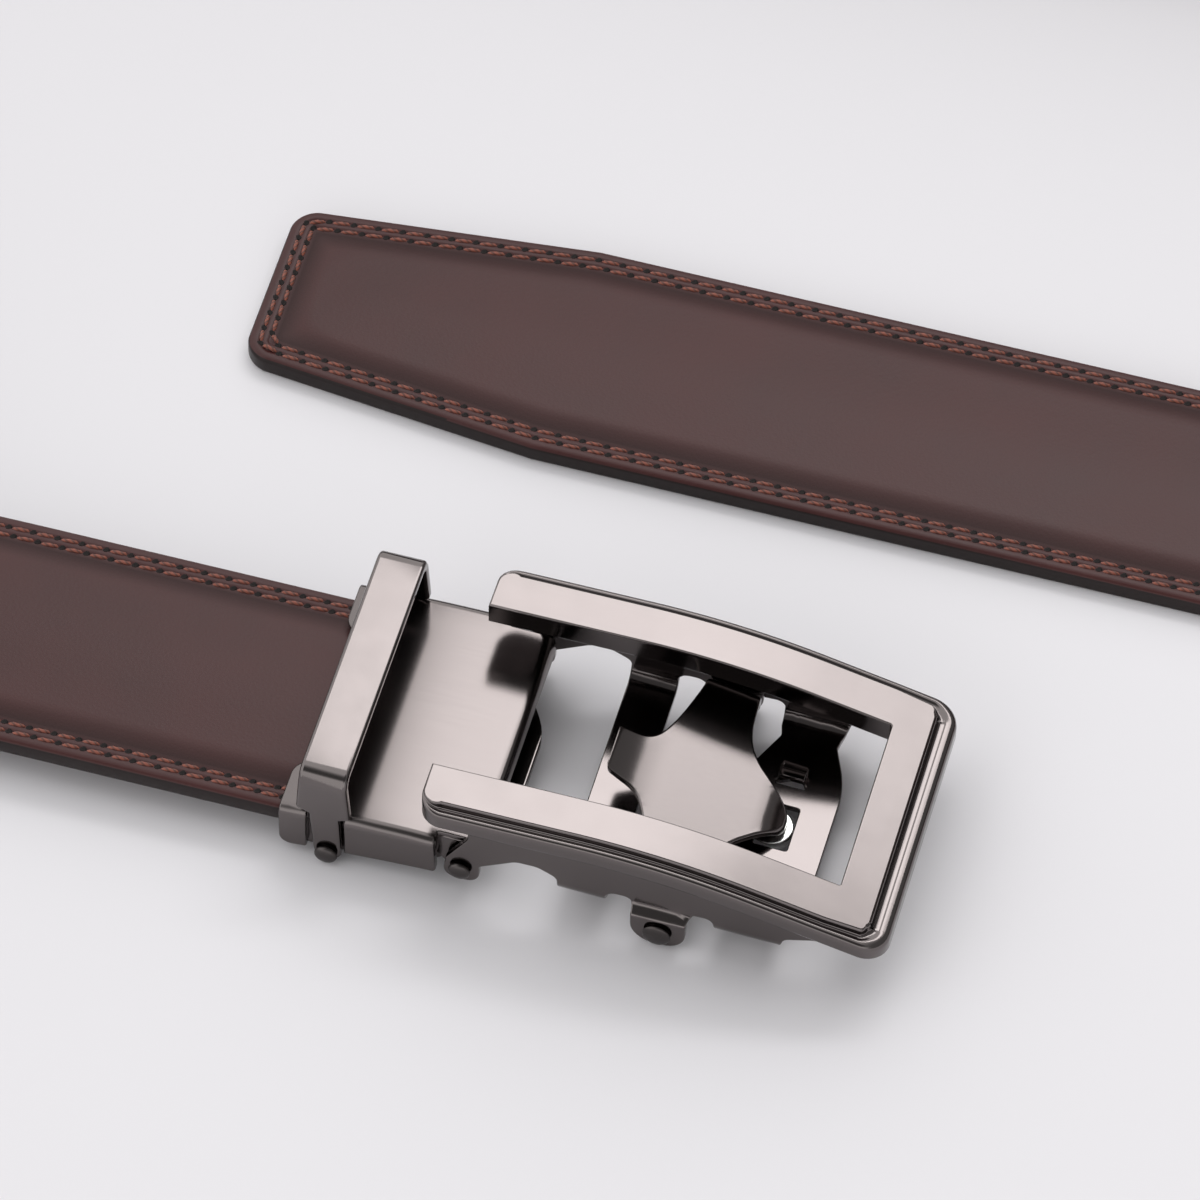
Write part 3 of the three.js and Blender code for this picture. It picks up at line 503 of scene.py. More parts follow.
def piece(name, parts, maker, body, node):
    """A new object from one or more parts."""
    points, faces, sharp = [], [], set()
    for part in parts:
        start = len(points)
        points += part.points
        faces += [tuple(start + i for i in face) for face in part.faces]
        sharp |= {frozenset((start + a, start + b)) for a, b in part.sharp}
    mesh = new_mesh(name, points, faces, maker)
    mesh.validate()
    for edge in mesh.edges:
        edge.use_edge_sharp = frozenset(edge.vertices) in sharp
    return dress(mesh, body, node)


def dress(mesh, body, node=None, weighted=True):
    """An object of the mesh, shaded smooth, riding on a body of the frame, which can replace a plain node."""
    obj = bpy.data.objects.new(mesh.name, mesh)
    bpy.context.scene.collection.objects.link(obj)
    obj.data.shade_smooth()
    if weighted:
        obj.modifiers.new("even_normals", "WEIGHTED_NORMAL").keep_sharp = True
    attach(obj, body)
    if node:
        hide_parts(node)
    return obj


# The bow of the face frame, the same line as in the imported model

FRAME_TOP = 18.7
FRAME_THICK = 3.8
BOW_START = 20.5
BOW_RADIUS = 98.0
BOW_ANGLE = math.radians(14)
BOW_END = BOW_START + BOW_RADIUS * math.sin(BOW_ANGLE)


def bow(x):
    if x <= BOW_START:
        return FRAME_TOP
    if x <= BOW_END:
        return FRAME_TOP - BOW_RADIUS + math.sqrt(BOW_RADIUS ** 2 - (x - BOW_START) ** 2)
    return FRAME_TOP - BOW_RADIUS * (1 - math.cos(BOW_ANGLE)) - (x - BOW_END) * math.tan(BOW_ANGLE)


def ease(u):
    t = min(max(u, 0), 1)
    return t * t * (3 - 2 * t)


# Face frame

FRAME_LENGTH = 62.5
FRAME_HALF = 20.4
WINDOW_HALF = 13.05
WINDOW_RIGHT = 54.7

# Round the frame's edge from its underside to the raised flat: inset and drop below the flat along the
# moulded rim, then inset and drop along the plain edge of the window
RIM = [
    (0.5, 3.80, 0.3, 3.80),
    (0.15, 3.65, 0.09, 3.71),
    (0.0, 3.30, 0.0, 3.50),
    (0.0, 1.75, 0.0, 1.50),
    (0.05, 1.25, 0.0, 0.60),
    (0.18, 1.0, 0.0, 0.30),
    (0.42, 0.86, 0.02, 0.22),
    (0.68, 0.84, 0.04, 0.18),
    (0.88, 0.95, 0.06, 0.14),
    (1.1, 1.12, 0.08, 0.10),
    (1.35, 1.10, 0.1, 0.07),
    (1.52, 0.85, 0.13, 0.04),
    (1.58, 0.40, 0.17, 0.02),
    (1.68, 0.12, 0.2, 0.01),
    (1.85, 0.0, 0.25, 0.0),
]


def rim_shape(row, point):
    inset, drop, plain_inset, plain_drop = row
    side = min(max((abs(point.y) - WINDOW_HALF - 4) / 2, 0), 1)
    right = min(max((point.x - WINDOW_RIGHT - 3.3) / 3, 0), 1)
    moulded = max(side, right)
    if point.x < 2.5:
        moulded *= 0.2 + 0.8 * max(point.x, 0) / 2.5
    inset = plain_inset + (inset - plain_inset) * moulded * (1 + 0.7 * right)
    return inset, -(plain_drop + (drop - plain_drop) * moulded)


def face_frame():
    outline = rounded([
        (0, -FRAME_HALF, 3), (FRAME_LENGTH, -FRAME_HALF, 3.6), (FRAME_LENGTH, FRAME_HALF, 3.6), (0, FRAME_HALF, 3),
        (0, WINDOW_HALF), (WINDOW_RIGHT, WINDOW_HALF, 0.3), (WINDOW_RIGHT, -WINDOW_HALF, 0.3), (0, -WINDOW_HALF),
    ], 10)
    return Sheet(outline, RIM, xs=spread(BOW_START, BOW_END, 1.2), ys=[-17.5, -15, 15, 17.5], longest=5,
                 shape=rim_shape).bent(lambda x, y, z: (x, y, z + bow(x)))


# Chassis: one folded sheet with two skirts, a strip and a tray

SHEET = 1.0
SKIRT_MIDDLE = 18.0
CHASSIS_FOLD = 2.4
CHASSIS_FLAT = SKIRT_MIDDLE - CHASSIS_FOLD
FLOOR_SLOPE = 0.045
LUG = (28.6, 36.0)
LUG_STEP = 1.5
TAB, TAB_BEND, TAB_LIFT = (41.1, 44.9), 0.35, 1.1


def floor_height(x):
    return 3.9 - FLOOR_SLOPE * (x - 21.5)


def skirt_across(x, z):
    """Distance across the flat sheet of a point of the skirts at height z."""
    return CHASSIS_FLAT + CHASSIS_FOLD * math.pi / 2 + z - floor_height(x) - CHASSIS_FOLD


def chassis_bend(x, y, h):
    floor = floor_height(x)
    upright = abs(y) - CHASSIS_FLAT - CHASSIS_FOLD * math.pi / 2 + floor + CHASSIS_FOLD
    if (x < 17.5 or 26.3 < x < 36.6) and abs(y) > 8:
        step = LUG_STEP * ease((6.4 - upright) / 1.4) if LUG[0] - 0.5 < x < LUG[1] + 0.5 else 0
        return x, math.copysign(SKIRT_MIDDLE + step - h, y), upright
    across, up = folded(y, h, CHASSIS_FLAT, CHASSIS_FOLD, 1)
    tab = ease((x - TAB[0]) / TAB_BEND) * ease((TAB[1] - x) / TAB_BEND) * ease((10.4 - y) / 2.6) * (y > 7.2)
    return x, across, floor + up + TAB_LIFT * tab


def chassis():
    def at(x, z, radius=0):
        return (x, skirt_across(x, z), radius)

    top = [at(x, bow(x) - FRAME_THICK + 0.2) for x in [6.3, *spread(BOW_START, BOW_END, 3), 60.2]]
    lower = [
        at(60.2, 6.3, 0.5), at(53.8, 7.4, 8), at(48.8, 5.6, 1.5), (47.6, CHASSIS_FLAT, 1), (47.4, 14.3, 1),
        (49.9, 8.5, 16),
    ]
    ear = [
        (18.3, CHASSIS_FLAT, 0), at(18.3, 7.2, 1.2), at(15.7, 8.6, 2.5), at(12.8, 8.6, 2.5), at(7.85, 5.5, 1),
        at(7.8, 1.8, 2.45), at(2.8, 1.8, 2.45), at(3.3, 5.9, 1), at(6.3, 11, 2),
    ]
    outline = rounded(both([*ear, *top, *lower]), 8)
    window = rounded(both([
        (24.8, CHASSIS_FLAT, 0), at(24.8, 6.8, 1.6), at(LUG[0], 6.8, 1.3), at(LUG[0], 0, 3.65), at(LUG[1], 0, 3.65),
        at(LUG[1], 6.1, 1.1), at(39.3, 6.1, 1.1), (39.4, CHASSIS_FLAT, 0.8), (39.8, 14.2, 1), (37.2, 8.5, 1),
    ]), 8)
    hole = rounded([(40.6, -3.45, 0.3), (45.2, -3.45, 0.3), (45.2, 3.45, 0.3), (40.6, 3.45, 0.3)], 2)
    slot = rounded([(41.0, 6.6, 0.2), (45.0, 6.6, 0.2), (45.0, 7.2, 0.2), (41.0, 7.2, 0.2)], 2)
    ys = fold_lines(CHASSIS_FLAT, CHASSIS_FOLD)
    ys += [s * y for s in (-1, 1) for y in (skirt_across(32, z) for z in (6.4, 6.0, 5.7, 5.4, 5.0, 9, 12))]
    ys += [7.4, 8.1, 8.9, 9.7, 10.5, 4.5, -4.5, 0, -9]
    xs = [41.1, 41.3, 41.5, 43, 44.5, 44.7, 44.9, *spread(18.3, 24.8, 2.2), *spread(37.2, 40.6, 1.7),
          *spread(46, 60, 2)]
    xs += [LUG[0] - 0.5, LUG[1] + 0.5, 3.5, 5.3, 7, 10, 13, 15.5, 27, 30, 32.3, 34.5]
    sheet = Sheet(outline, edge_rows(SHEET, 0.16, 2), [window, hole, slot], xs, sorted(ys), 2.5, 0.2)
    return sheet.bent(chassis_bend)


# Pawl: a winged leaf bent from sheet

PAWL_SHEET = 1.1
PAWL_MIDDLE = 16.65
PAWL_FOLD = 1.6
PAWL_FLAT = PAWL_MIDDLE - PAWL_FOLD


def pawl_height(x):
    """The leaf slopes down to the right, turns up into the tooth and curls down at the tongue."""
    rise = 0.5 * 0.54 / 6.8 * max(27 - x, 0) ** 2
    curl = 0.13 * max(x - 40.6, 0) ** 2
    return 8.3 - 0.22 * (x - 32) + rise - curl


def pawl_bend(x, y, h):
    across, up = folded(y, h, PAWL_FLAT, PAWL_FOLD, -1)
    lip = 0.5 * ease((21.3 - x) / 1.0) * (h > 0)
    return x, across, pawl_height(x) + up * 1.03 + lip


def pawl():
    ear = turned_down(PAWL_FLAT, PAWL_FOLD, pawl_height)
    tooth = flowing([(20.7, 2.9), (21.0, 3.45), (22.0, 3.65), (24.0, 4.1), (25.4, 5.2), (26.5, 7.2), (27.4, 9.6),
                     (28.2, 12.3), (28.9, PAWL_FLAT)])
    ears = [ear(29.2, 5, 2), ear(30.1, 0.45, 2.1), ear(34.5, 0.45, 2.1), ear(36.2, 5, 2)]
    tongue = flowing([(36.4, PAWL_FLAT), (36.6, 11.5), (37.4, 8.6), (38.9, 6.4), (40.8, 4.6), (42.5, 3.1),
                      (43.7, 1.9), (44.2, 0.7)])
    outline = rounded(both([*tooth, *ears, *tongue]), 8)
    ys = fold_lines(PAWL_FLAT, PAWL_FOLD) + spread(-14, 14, 0.9)
    ys += [s * y for s in (-1, 1) for y in (18.6, 20, 21.5, 23)]
    xs = spread(20.5, 44, 0.8)
    leaf = Sheet(outline, edge_rows(PAWL_SHEET, 0.3, 3), [], xs, sorted(ys), 1.0, 0.3)
    return leaf.bent(pawl_bend)


# Base plate: a bowed cover with flanges, and upright ears under it for the hinge and the clamp

BASE_SHEET = 1.2
BASE_TOP = 9.5
BASE_FOLD = 0.75
BASE_FLAT = 19 - BASE_SHEET / 2 - BASE_FOLD
LIP_START = 6.7
LIP_FOLD = 0.9
LIP_TURN = 1.35
BASE_BOW = 200
BASE_CROWN = -3


def base_middle(x):
    """Height of the middle of the bowed sheet."""
    return BASE_TOP - BASE_BOW + math.sqrt(BASE_BOW ** 2 - (x - BASE_CROWN) ** 2) - BASE_SHEET / 2


def base_bend(x, y, h):
    across, up = folded(y, h, BASE_FLAT, BASE_FOLD, -1)
    beyond = x - LIP_START
    if beyond <= 0:
        return x, across, base_middle(x) + up
    a = min(beyond / LIP_FOLD, LIP_TURN)
    rest = beyond - a * LIP_FOLD
    arm = LIP_FOLD + h
    x = LIP_START + arm * math.sin(a) + rest * math.cos(a)
    z = base_middle(LIP_START) - LIP_FOLD + arm * math.cos(a) - rest * math.sin(a)
    return x, across, z


def upright(rows, inner, outer, radius=0.15):
    """A plate standing between two distances from the middle, its outline given in x and z."""
    middle, thick = (inner + outer) / 2, outer - inner
    return Sheet(rounded(rows, 6), edge_rows(thick, radius, 2)).bent(lambda x, z, h: (x, middle - h, z))


def base_plate():
    flange = turned_down(BASE_FLAT, BASE_FOLD, base_middle)
    side = [
        (LIP_START + 2.2, 17.1, 1.3), (1.8, 17.1, 0.4), (1.8, BASE_FLAT + 0.3), flange(2.1, 2.7, 0.6),
        flange(-10.35, 1.9, 0.3), (-10.35, BASE_FLAT + 0.3, 0.3), (-15.45, BASE_FLAT + 0.3, 0.3),
        flange(-15.45, 1.5, 0.3), flange(-19.2, 1.0, 2.4), (-19.2, 12.0, 2.5), (-14.2, 8, 4),
    ]
    ys = fold_lines(BASE_FLAT, BASE_FOLD) + spread(-15, 15, 3)
    xs = spread(-18, 5.5, 2.4) + spread(LIP_START, LIP_START + 1.3, 0.2)
    cover = Sheet(rounded(both(side), 8), edge_rows(BASE_SHEET, 0.2, 2), [], xs, sorted(ys), 3.1, 0.2)
    hinge_ear = upright([(1.2, 5.3), (4.3, 1.8, 1.6), (7.6, 1.8, 1.6), (7.6, 8.7, 0.3), (1.2, 8.7)], 16.0, 17.2)
    wing = upright([(0.9, 5.2, 0.3), (1.9, 5.2, 0.3), (1.9, 8.7), (0.9, 8.7)], 17.0, 18.3)
    cheek = upright([(-16.2, 1, 0.5), (-9.4, 1, 0.5), (-9.4, 8.9), (-16.2, 8.9)], 16.8, 17.85)
    return [cover.bent(base_bend)] + [p for part in (hinge_ear, wing, cheek) for p in (part, part.mirrored())]


# Keeper: a bridge over the strap on two legs

KEEPER_SHEET = 1.5
KEEPER_TOP = 18.1
KEEPER_FOLD = 1.6
KEEPER_FLAT = 19.2 - KEEPER_SHEET / 2 - KEEPER_FOLD


def keeper_bend(x, y, h):
    across, up = folded(y, h, KEEPER_FLAT, KEEPER_FOLD, -1)
    z = KEEPER_TOP - KEEPER_SHEET / 2 + up
    thin = 0.4 * ease((9.2 - z) / 0.6) * (0.5 - h / KEEPER_SHEET)
    return x, across + math.copysign(thin, across), z


def keeper():
    leg = turned_down(KEEPER_FLAT, KEEPER_FOLD, lambda x: KEEPER_TOP - KEEPER_SHEET / 2)
    side = [
        leg(-9.9, 16), leg(-9.5, 9.7, 0.6), leg(-10.95, 9.0, 0.4), leg(-10.65, 0.2, 1.5), leg(-14.35, 0.2, 1.5),
        leg(-15.05, 9.5, 0.4), leg(-16.8, 10.2, 0.6), leg(-16.4, 16),
    ]
    ys = fold_lines(KEEPER_FLAT, KEEPER_FOLD)
    ys += [s * leg(0, z)[1] for s in (-1, 1) for z in (9.3, 8.9, 8.5)]
    bridge = Sheet(rounded(both(side), 6), edge_rows(KEEPER_SHEET, 0.5, 5), [], [], sorted(ys), 4)
    return bridge.bent(keeper_bend)


# Rivets and magnet


def rivet(place, shaft, head, inner, outer, rise=0.8):
    """A shaft along +Y and a domed head beyond outer."""
    dome = [(head * math.cos(a), outer + rise * (0.25 + 0.75 * math.sin(a)))
            for a in (math.pi / 2 * k / 6 for k in range(6))]
    return lathe([(shaft, inner), (shaft, outer), (head - 0.1, outer), (head, outer + 0.1), *dome,
                  (0.12, outer + rise)], place)


def magnet():
    radius, low, high, bevel = 2.9, 1.6, 3.2, 0.25
    return lathe([(radius - bevel, low), (radius, low + bevel), (radius, high - bevel), (radius - 0.07, high - 0.07),
                  (radius - bevel, high)], Vector((42.3, 0, 0)), "Z", 48)


# Strap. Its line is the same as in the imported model: lengths along it start at the buckle's end

STRAP_WIDTH = 35.0
STRAP_EDGE = 2.8
TIP_WIDTH = 26.0
TIP_CORNER = 3.5
TIP_TAPER = 42.0
TONGUE_WIDTH = 30.4
TONGUE_LENGTH = 17.5
TONGUE_SHOULDER = 1.8
STRAP_LIFT = 3.9
SETTLE_START, SETTLE_LENGTH = 62.0, 110.0
FLAT_FROM_BUCKLE = 76.0
TWIST_LENGTH = 100.0
TWIST_INTO_BEND = 35.0
BACK_DISTANCE = 178.0
TIP_DISTANCE = 68.2
TIP_X = -47.0
FLAT_FROM_TIP = 140.0
STRAP_END_X = 1.0
# The crown over the filler: heights, and where each starts and how wide it rises, from the edge
CROWN = ((0.62, 3.3, 3.4), (0.33, 5, 12))


def eased(u):
    t = np.clip(u, 0, 1)
    return t * t * (3 - 2 * t)


bend_reach = float(np.mean(np.sin(math.pi * eased((np.arange(400) + 0.5) / 400))))
left_start = FLAT_FROM_BUCKLE + TWIST_LENGTH - TWIST_INTO_BEND
left_length = BACK_DISTANCE / bend_reach
tip_straight = FLAT_FROM_TIP + TWIST_LENGTH - TWIST_INTO_BEND
right_start = left_start + left_length + TIP_X + tip_straight - (STRAP_END_X - left_start)
right_length = (BACK_DISTANCE - TIP_DISTANCE) / bend_reach
STRAP_LENGTH = right_start + right_length + tip_straight
twist_back = STRAP_LENGTH - FLAT_FROM_TIP - TWIST_LENGTH


def heading(s):
    return math.pi * (1 - eased((s - left_start) / left_length) - eased((s - right_start) / right_length))


ROUTE_STEP = 0.5
route_s = np.arange(0, STRAP_LENGTH + 2, ROUTE_STEP)
middles = heading(route_s[:-1] + ROUTE_STEP / 2)
route_x = STRAP_END_X + np.concatenate([[0], np.cumsum(np.cos(middles)) * ROUTE_STEP])
route_y = np.concatenate([[0], np.cumsum(np.sin(middles)) * ROUTE_STEP])


def on_strap(s, across, up):
    """Places on the strap, in buckle millimetres: across is to the left of its run, up is out of its face."""
    s, across, up = np.broadcast_arrays(np.asarray(s, float), across, up)
    turn = math.pi / 2 * (eased((s - FLAT_FROM_BUCKLE) / TWIST_LENGTH) - eased((s - twist_back) / TWIST_LENGTH))
    way = heading(s)
    lift = STRAP_LIFT * (1 - eased((s - SETTLE_START) / SETTLE_LENGTH))
    out = across * np.cos(turn) + up * np.sin(turn)
    z = (STRAP_WIDTH / 2 - across) * np.sin(turn) + up * np.cos(turn) + lift
    x = np.interp(s, route_s, route_x) - np.sin(way) * out
    y = np.interp(s, route_s, route_y) + np.cos(way) * out
    return np.stack([x, y, z], -1)


def straight_half(s):
    """Half the strap's width, without the rounding of its tip's corners."""
    full, tip, tongue = STRAP_WIDTH / 2, TIP_WIDTH / 2, TONGUE_WIDTH / 2
    tapered = tip + (full - tip) * np.clip((STRAP_LENGTH - s) / TIP_TAPER, 0, 1)
    return np.minimum(tapered, tongue + (full - tongue) * eased((s - TONGUE_LENGTH) / TONGUE_SHOULDER))


def half_width(s):
    corner = np.clip(TIP_CORNER - (STRAP_LENGTH - s), 0, TIP_CORNER)
    return straight_half(s) - (TIP_CORNER - np.sqrt(TIP_CORNER ** 2 - corner ** 2))


def rim_distance(s, across):
    """Distance to the strap's outline, measured on its face."""
    to_tip = STRAP_LENGTH - s
    side = straight_half(s) - np.abs(across)
    beyond_side, beyond_end = TIP_CORNER - side, TIP_CORNER - to_tip
    corner = (beyond_side > 0) & (beyond_end > 0)
    return np.where(corner, TIP_CORNER - np.hypot(beyond_side, beyond_end), np.minimum(side, to_tip))


def face_height(s, across, rows):
    """Height of the leather's face: a rounded edge, a domed border with a groove under each row of stitches,
    and a crown over the filler in the middle, whose corners are soft."""
    rim = np.maximum(rim_distance(s, across), 0)
    blur = 2.0
    side, end = straight_half(s) - np.abs(across), STRAP_LENGTH - s
    filler = -blur * np.logaddexp(-side / blur, -end / blur)
    edge = 0.7
    drop = np.where(rim < edge, edge - np.sqrt(np.maximum(edge ** 2 - (edge - np.minimum(rim, edge)) ** 2, 0)), 0)
    grooves = sum(0.2 * np.exp(-((rim - row) / 0.26) ** 2) for row in rows)
    crown = sum(height * eased((filler - start) / width) for height, start, width in CROWN)
    return STRAP_EDGE - drop + 0.1 * np.sin(np.clip(rim / 3.7, 0, 1) * math.pi) - grooves + crown


# Distances from the edge where the strap's face has points, close together at the edge and the stitching
FACE_STOPS = [0, 0.03, 0.12, 0.28, 0.5, 0.8, 1.15, 1.4, 1.55, 1.7, 1.85, 2.0, 2.3, 2.65, 2.85, 3.0, 3.15, 3.35, 3.7,
              4.2, 4.8, 5.5, 6.3, 7.3, 8.7, 10.6, 13, 15.4, 17.5]
SCALED_FROM = 6.3
TIP_STOPS = [7.5, 6.8, 6.2, 5.7, 5.2, 4.8, 4.4, 4.0, 3.7, 3.45, 3.25, 3.1, 3.0, 2.9, 2.75, 2.55, 2.3, 2.1, 1.95, 1.8,
             1.7, 1.6, 1.4, 1.15, 0.9, 0.7, 0.5, 0.35, 0.22, 0.12, 0.05, 0]
TRACK_START, TOOTH_PITCH, TOOTH_COUNT, TOOTH_LAND, TOOTH_DEPTH = 40.0, 5.5, 30, 0.4, 0.5
TRACK_END = TRACK_START + TOOTH_PITCH * TOOTH_COUNT
GROOVE_HALF, GROOVE_DEPTH = 4.3, 1.3


def rings_to_faces(rings, count):
    """Quads round a tube of rings, and its two closed ends."""
    a = (np.arange(rings - 1)[:, None] * count + np.arange(count)).ravel()
    b = (np.arange(rings - 1)[:, None] * count + (np.arange(count) + 1) % count).ravel()
    quads = np.stack([a, b, b + count, a + count], -1).tolist()
    last = (rings - 1) * count
    return quads + [list(range(count))[::-1], [last + k for k in range(count)]]


def strap(rows):
    groove_ends = [STRAP_LENGTH - d
                   for d in (TRACK_END + 0.35, TRACK_END + 0.25, TRACK_START - 0.25, TRACK_START - 0.35)]
    stations = sorted([*spread(0, 16, 4), *spread(17, STRAP_LENGTH - 44, 2), *groove_ends,
                       *spread(STRAP_LENGTH - 42, STRAP_LENGTH - 8.5, 1.5), *[STRAP_LENGTH - t for t in TIP_STOPS]])
    s = np.array(stations)[:, None]
    half = half_width(s)
    stops = np.array(FACE_STOPS)[None, :]
    inner = (half - SCALED_FROM) * (1 - (stops - SCALED_FROM) / (stops[0, -1] - SCALED_FROM))
    side = np.where(stops <= SCALED_FROM, half - stops, inner)
    face = np.concatenate([side, -side[:, -2::-1]], 1)
    rim = rim_distance(s, face)
    up = face_height(s, face, rows)
    back_side = np.concatenate([half, half - 0.12, half - 0.4, np.full_like(half, GROOVE_HALF + 0.05),
                                np.full_like(half, GROOVE_HALF)], 1)
    back = np.concatenate([-back_side, back_side[:, ::-1]], 1)
    in_groove = (s > groove_ends[0] + 0.05) & (s < groove_ends[3] - 0.05)
    low = np.zeros_like(back)
    low[:, [0, -1]] = 0.45
    low[:, [1, -2]] = 0.12
    low[:, 4:6] = np.where(in_groove, GROOVE_DEPTH, 0)
    across = np.concatenate([face, back], 1)
    up = np.concatenate([up, low], 1)
    points = on_strap(s, across, up)
    count = across.shape[1]
    faces = rings_to_faces(len(stations), count)
    mesh = new_mesh("leather_strap", points, faces, face_leather, edge_paint, lining_leather)
    rim_all = np.concatenate([rim, np.zeros_like(back)], 1).ravel()
    mesh.attributes.new("rim_mm", "FLOAT", "POINT").data.foreach_set("value", rim_all.astype(np.float32))
    slots = np.zeros((len(stations) - 1, count), np.int32)
    face_count = face.shape[1]
    between = (rim[:-1] + rim[1:]) / 2
    slots[:, :face_count - 1] = np.where((between[:, :-1] + between[:, 1:]) / 2 < 0.2, 1, 0)
    slots[:, face_count - 1:] = 2
    slots[:, [face_count - 1, face_count, count - 2, count - 1]] = 1
    mesh.polygons.foreach_set("material_index", np.concatenate([slots.ravel(), [1, 1]]).astype(np.int32))
    dress(mesh, "belt", "strap", weighted=False)


def track():
    """Teeth between two rails, in the groove in the strap's back."""
    half, rail, thick, sink, edge = 4.0, 0.8, 1.0, 0.05, 0.12
    stations, depths = [], []
    for tooth in range(TOOTH_COUNT):
        root = STRAP_LENGTH - TRACK_END + tooth * TOOTH_PITCH
        for along, depth in ((0.0, 1), (0.04, 1), (TOOTH_PITCH / 2, 0.45), (TOOTH_PITCH - TOOTH_LAND - 0.1, 0.03),
                             (TOOTH_PITCH - TOOTH_LAND, 0), (TOOTH_PITCH - 0.12, 0), (TOOTH_PITCH - 0.04, 0.12)):
            stations.append(root + along)
            depths.append(depth if 0 < tooth or along else 0)
    stations.append(STRAP_LENGTH - TRACK_START)
    depths.append(0)
    s = np.array(stations)[:, None]
    tooth = sink + TOOTH_DEPTH * np.array(depths)[:, None]
    flat = np.full_like(s, 1.0)
    sides = [(-half, thick), (-half, sink + edge), (-half + edge, sink), (-half + rail - edge, sink),
             (-half + rail, sink + edge)]
    across = np.concatenate([flat * a for a, _ in sides] + [flat * (-half + rail + 0.02), flat * (half - rail - 0.02)]
                            + [flat * -a for a, _ in reversed(sides)], 1)
    up = np.concatenate([flat * u for _, u in sides] + [tooth + edge, tooth + edge]
                        + [flat * u for _, u in reversed(sides)], 1)
    faces = rings_to_faces(len(stations), across.shape[1])
    mesh = new_mesh("ratchet_teeth", on_strap(s, across, up), faces, moulded_track)
    dress(mesh, "belt", "ratchet_track")
    mesh.shade_flat()


# Stitching

TIP_PITCH = 2.7
STITCH_START = 15.0
BACK_STITCH_SINK = 0.4
ROW_SHIFT = 0.3
HIDDEN_SHARE = 0.11
STITCH_SLANT = 0.16
STITCH_RISE, STITCH_SINK = 0.24, 0.14
PLY_TURNS = 2.6
HOLE_LENGTH, HOLE_WIDTH, HOLE_TURN = 0.52, 0.4, math.radians(25)
# Rings of a needle hole's disc of painted shade, from its floor to the leather's face: size and height
HOLE_RINGS = ((0.55, -0.12), (1.0, 0.0), (0.55, 0.03))


def stitch_line(inset):
    """A row's line on the strap, from the buckle round the tip and back: lengths along and distances across."""
    s_side = np.arange(STITCH_START, STRAP_LENGTH - TIP_CORNER, 0.25)
    taper = TIP_TAPER / math.hypot(TIP_TAPER, (STRAP_WIDTH - TIP_WIDTH) / 2)
    side = straight_half(s_side) - inset / np.where(STRAP_LENGTH - s_side < TIP_TAPER, taper, 1)
    middle_s = STRAP_LENGTH - TIP_CORNER
    middle_a = float(straight_half(np.array(middle_s))) - TIP_CORNER / taper
    radius = TIP_CORNER - inset
    angles = np.linspace(0, math.pi / 2, 12)[1:]
    end_a = np.linspace(middle_a, 0, 60)[1:]
    s = np.concatenate([s_side, middle_s + radius * np.sin(angles), np.full_like(end_a, STRAP_LENGTH - inset)])
    across = np.concatenate([side, middle_a + radius * np.cos(angles), end_a])
    return np.concatenate([s, s[-2::-1]]), np.concatenate([across, -across[-2::-1]])


def stitch_places(inset, pitch, number):
    """The needle holes of a row: lengths along the strap and distances across it."""
    s, across = stitch_line(inset)
    steps = np.hypot(np.diff(s), np.diff(across))
    at_tip = (STRAP_LENGTH - (s[:-1] + s[1:]) / 2) < inset + 0.5
    counted = np.concatenate([[0], np.cumsum(steps / np.where(at_tip, TIP_PITCH, pitch))])
    counted *= round(counted[-1]) / counted[-1]
    marks = np.arange(0, round(counted[-1])) + ROW_SHIFT * number
    marks = marks[marks <= counted[-1]]
    return np.stack([np.interp(marks, counted, s), np.interp(marks, counted, across)], -1)


def repeated(faces, each, total):
    """The faces of one form of each points, for total such forms."""
    return [[i * each + v for v in face] for i in range(total) for face in faces]


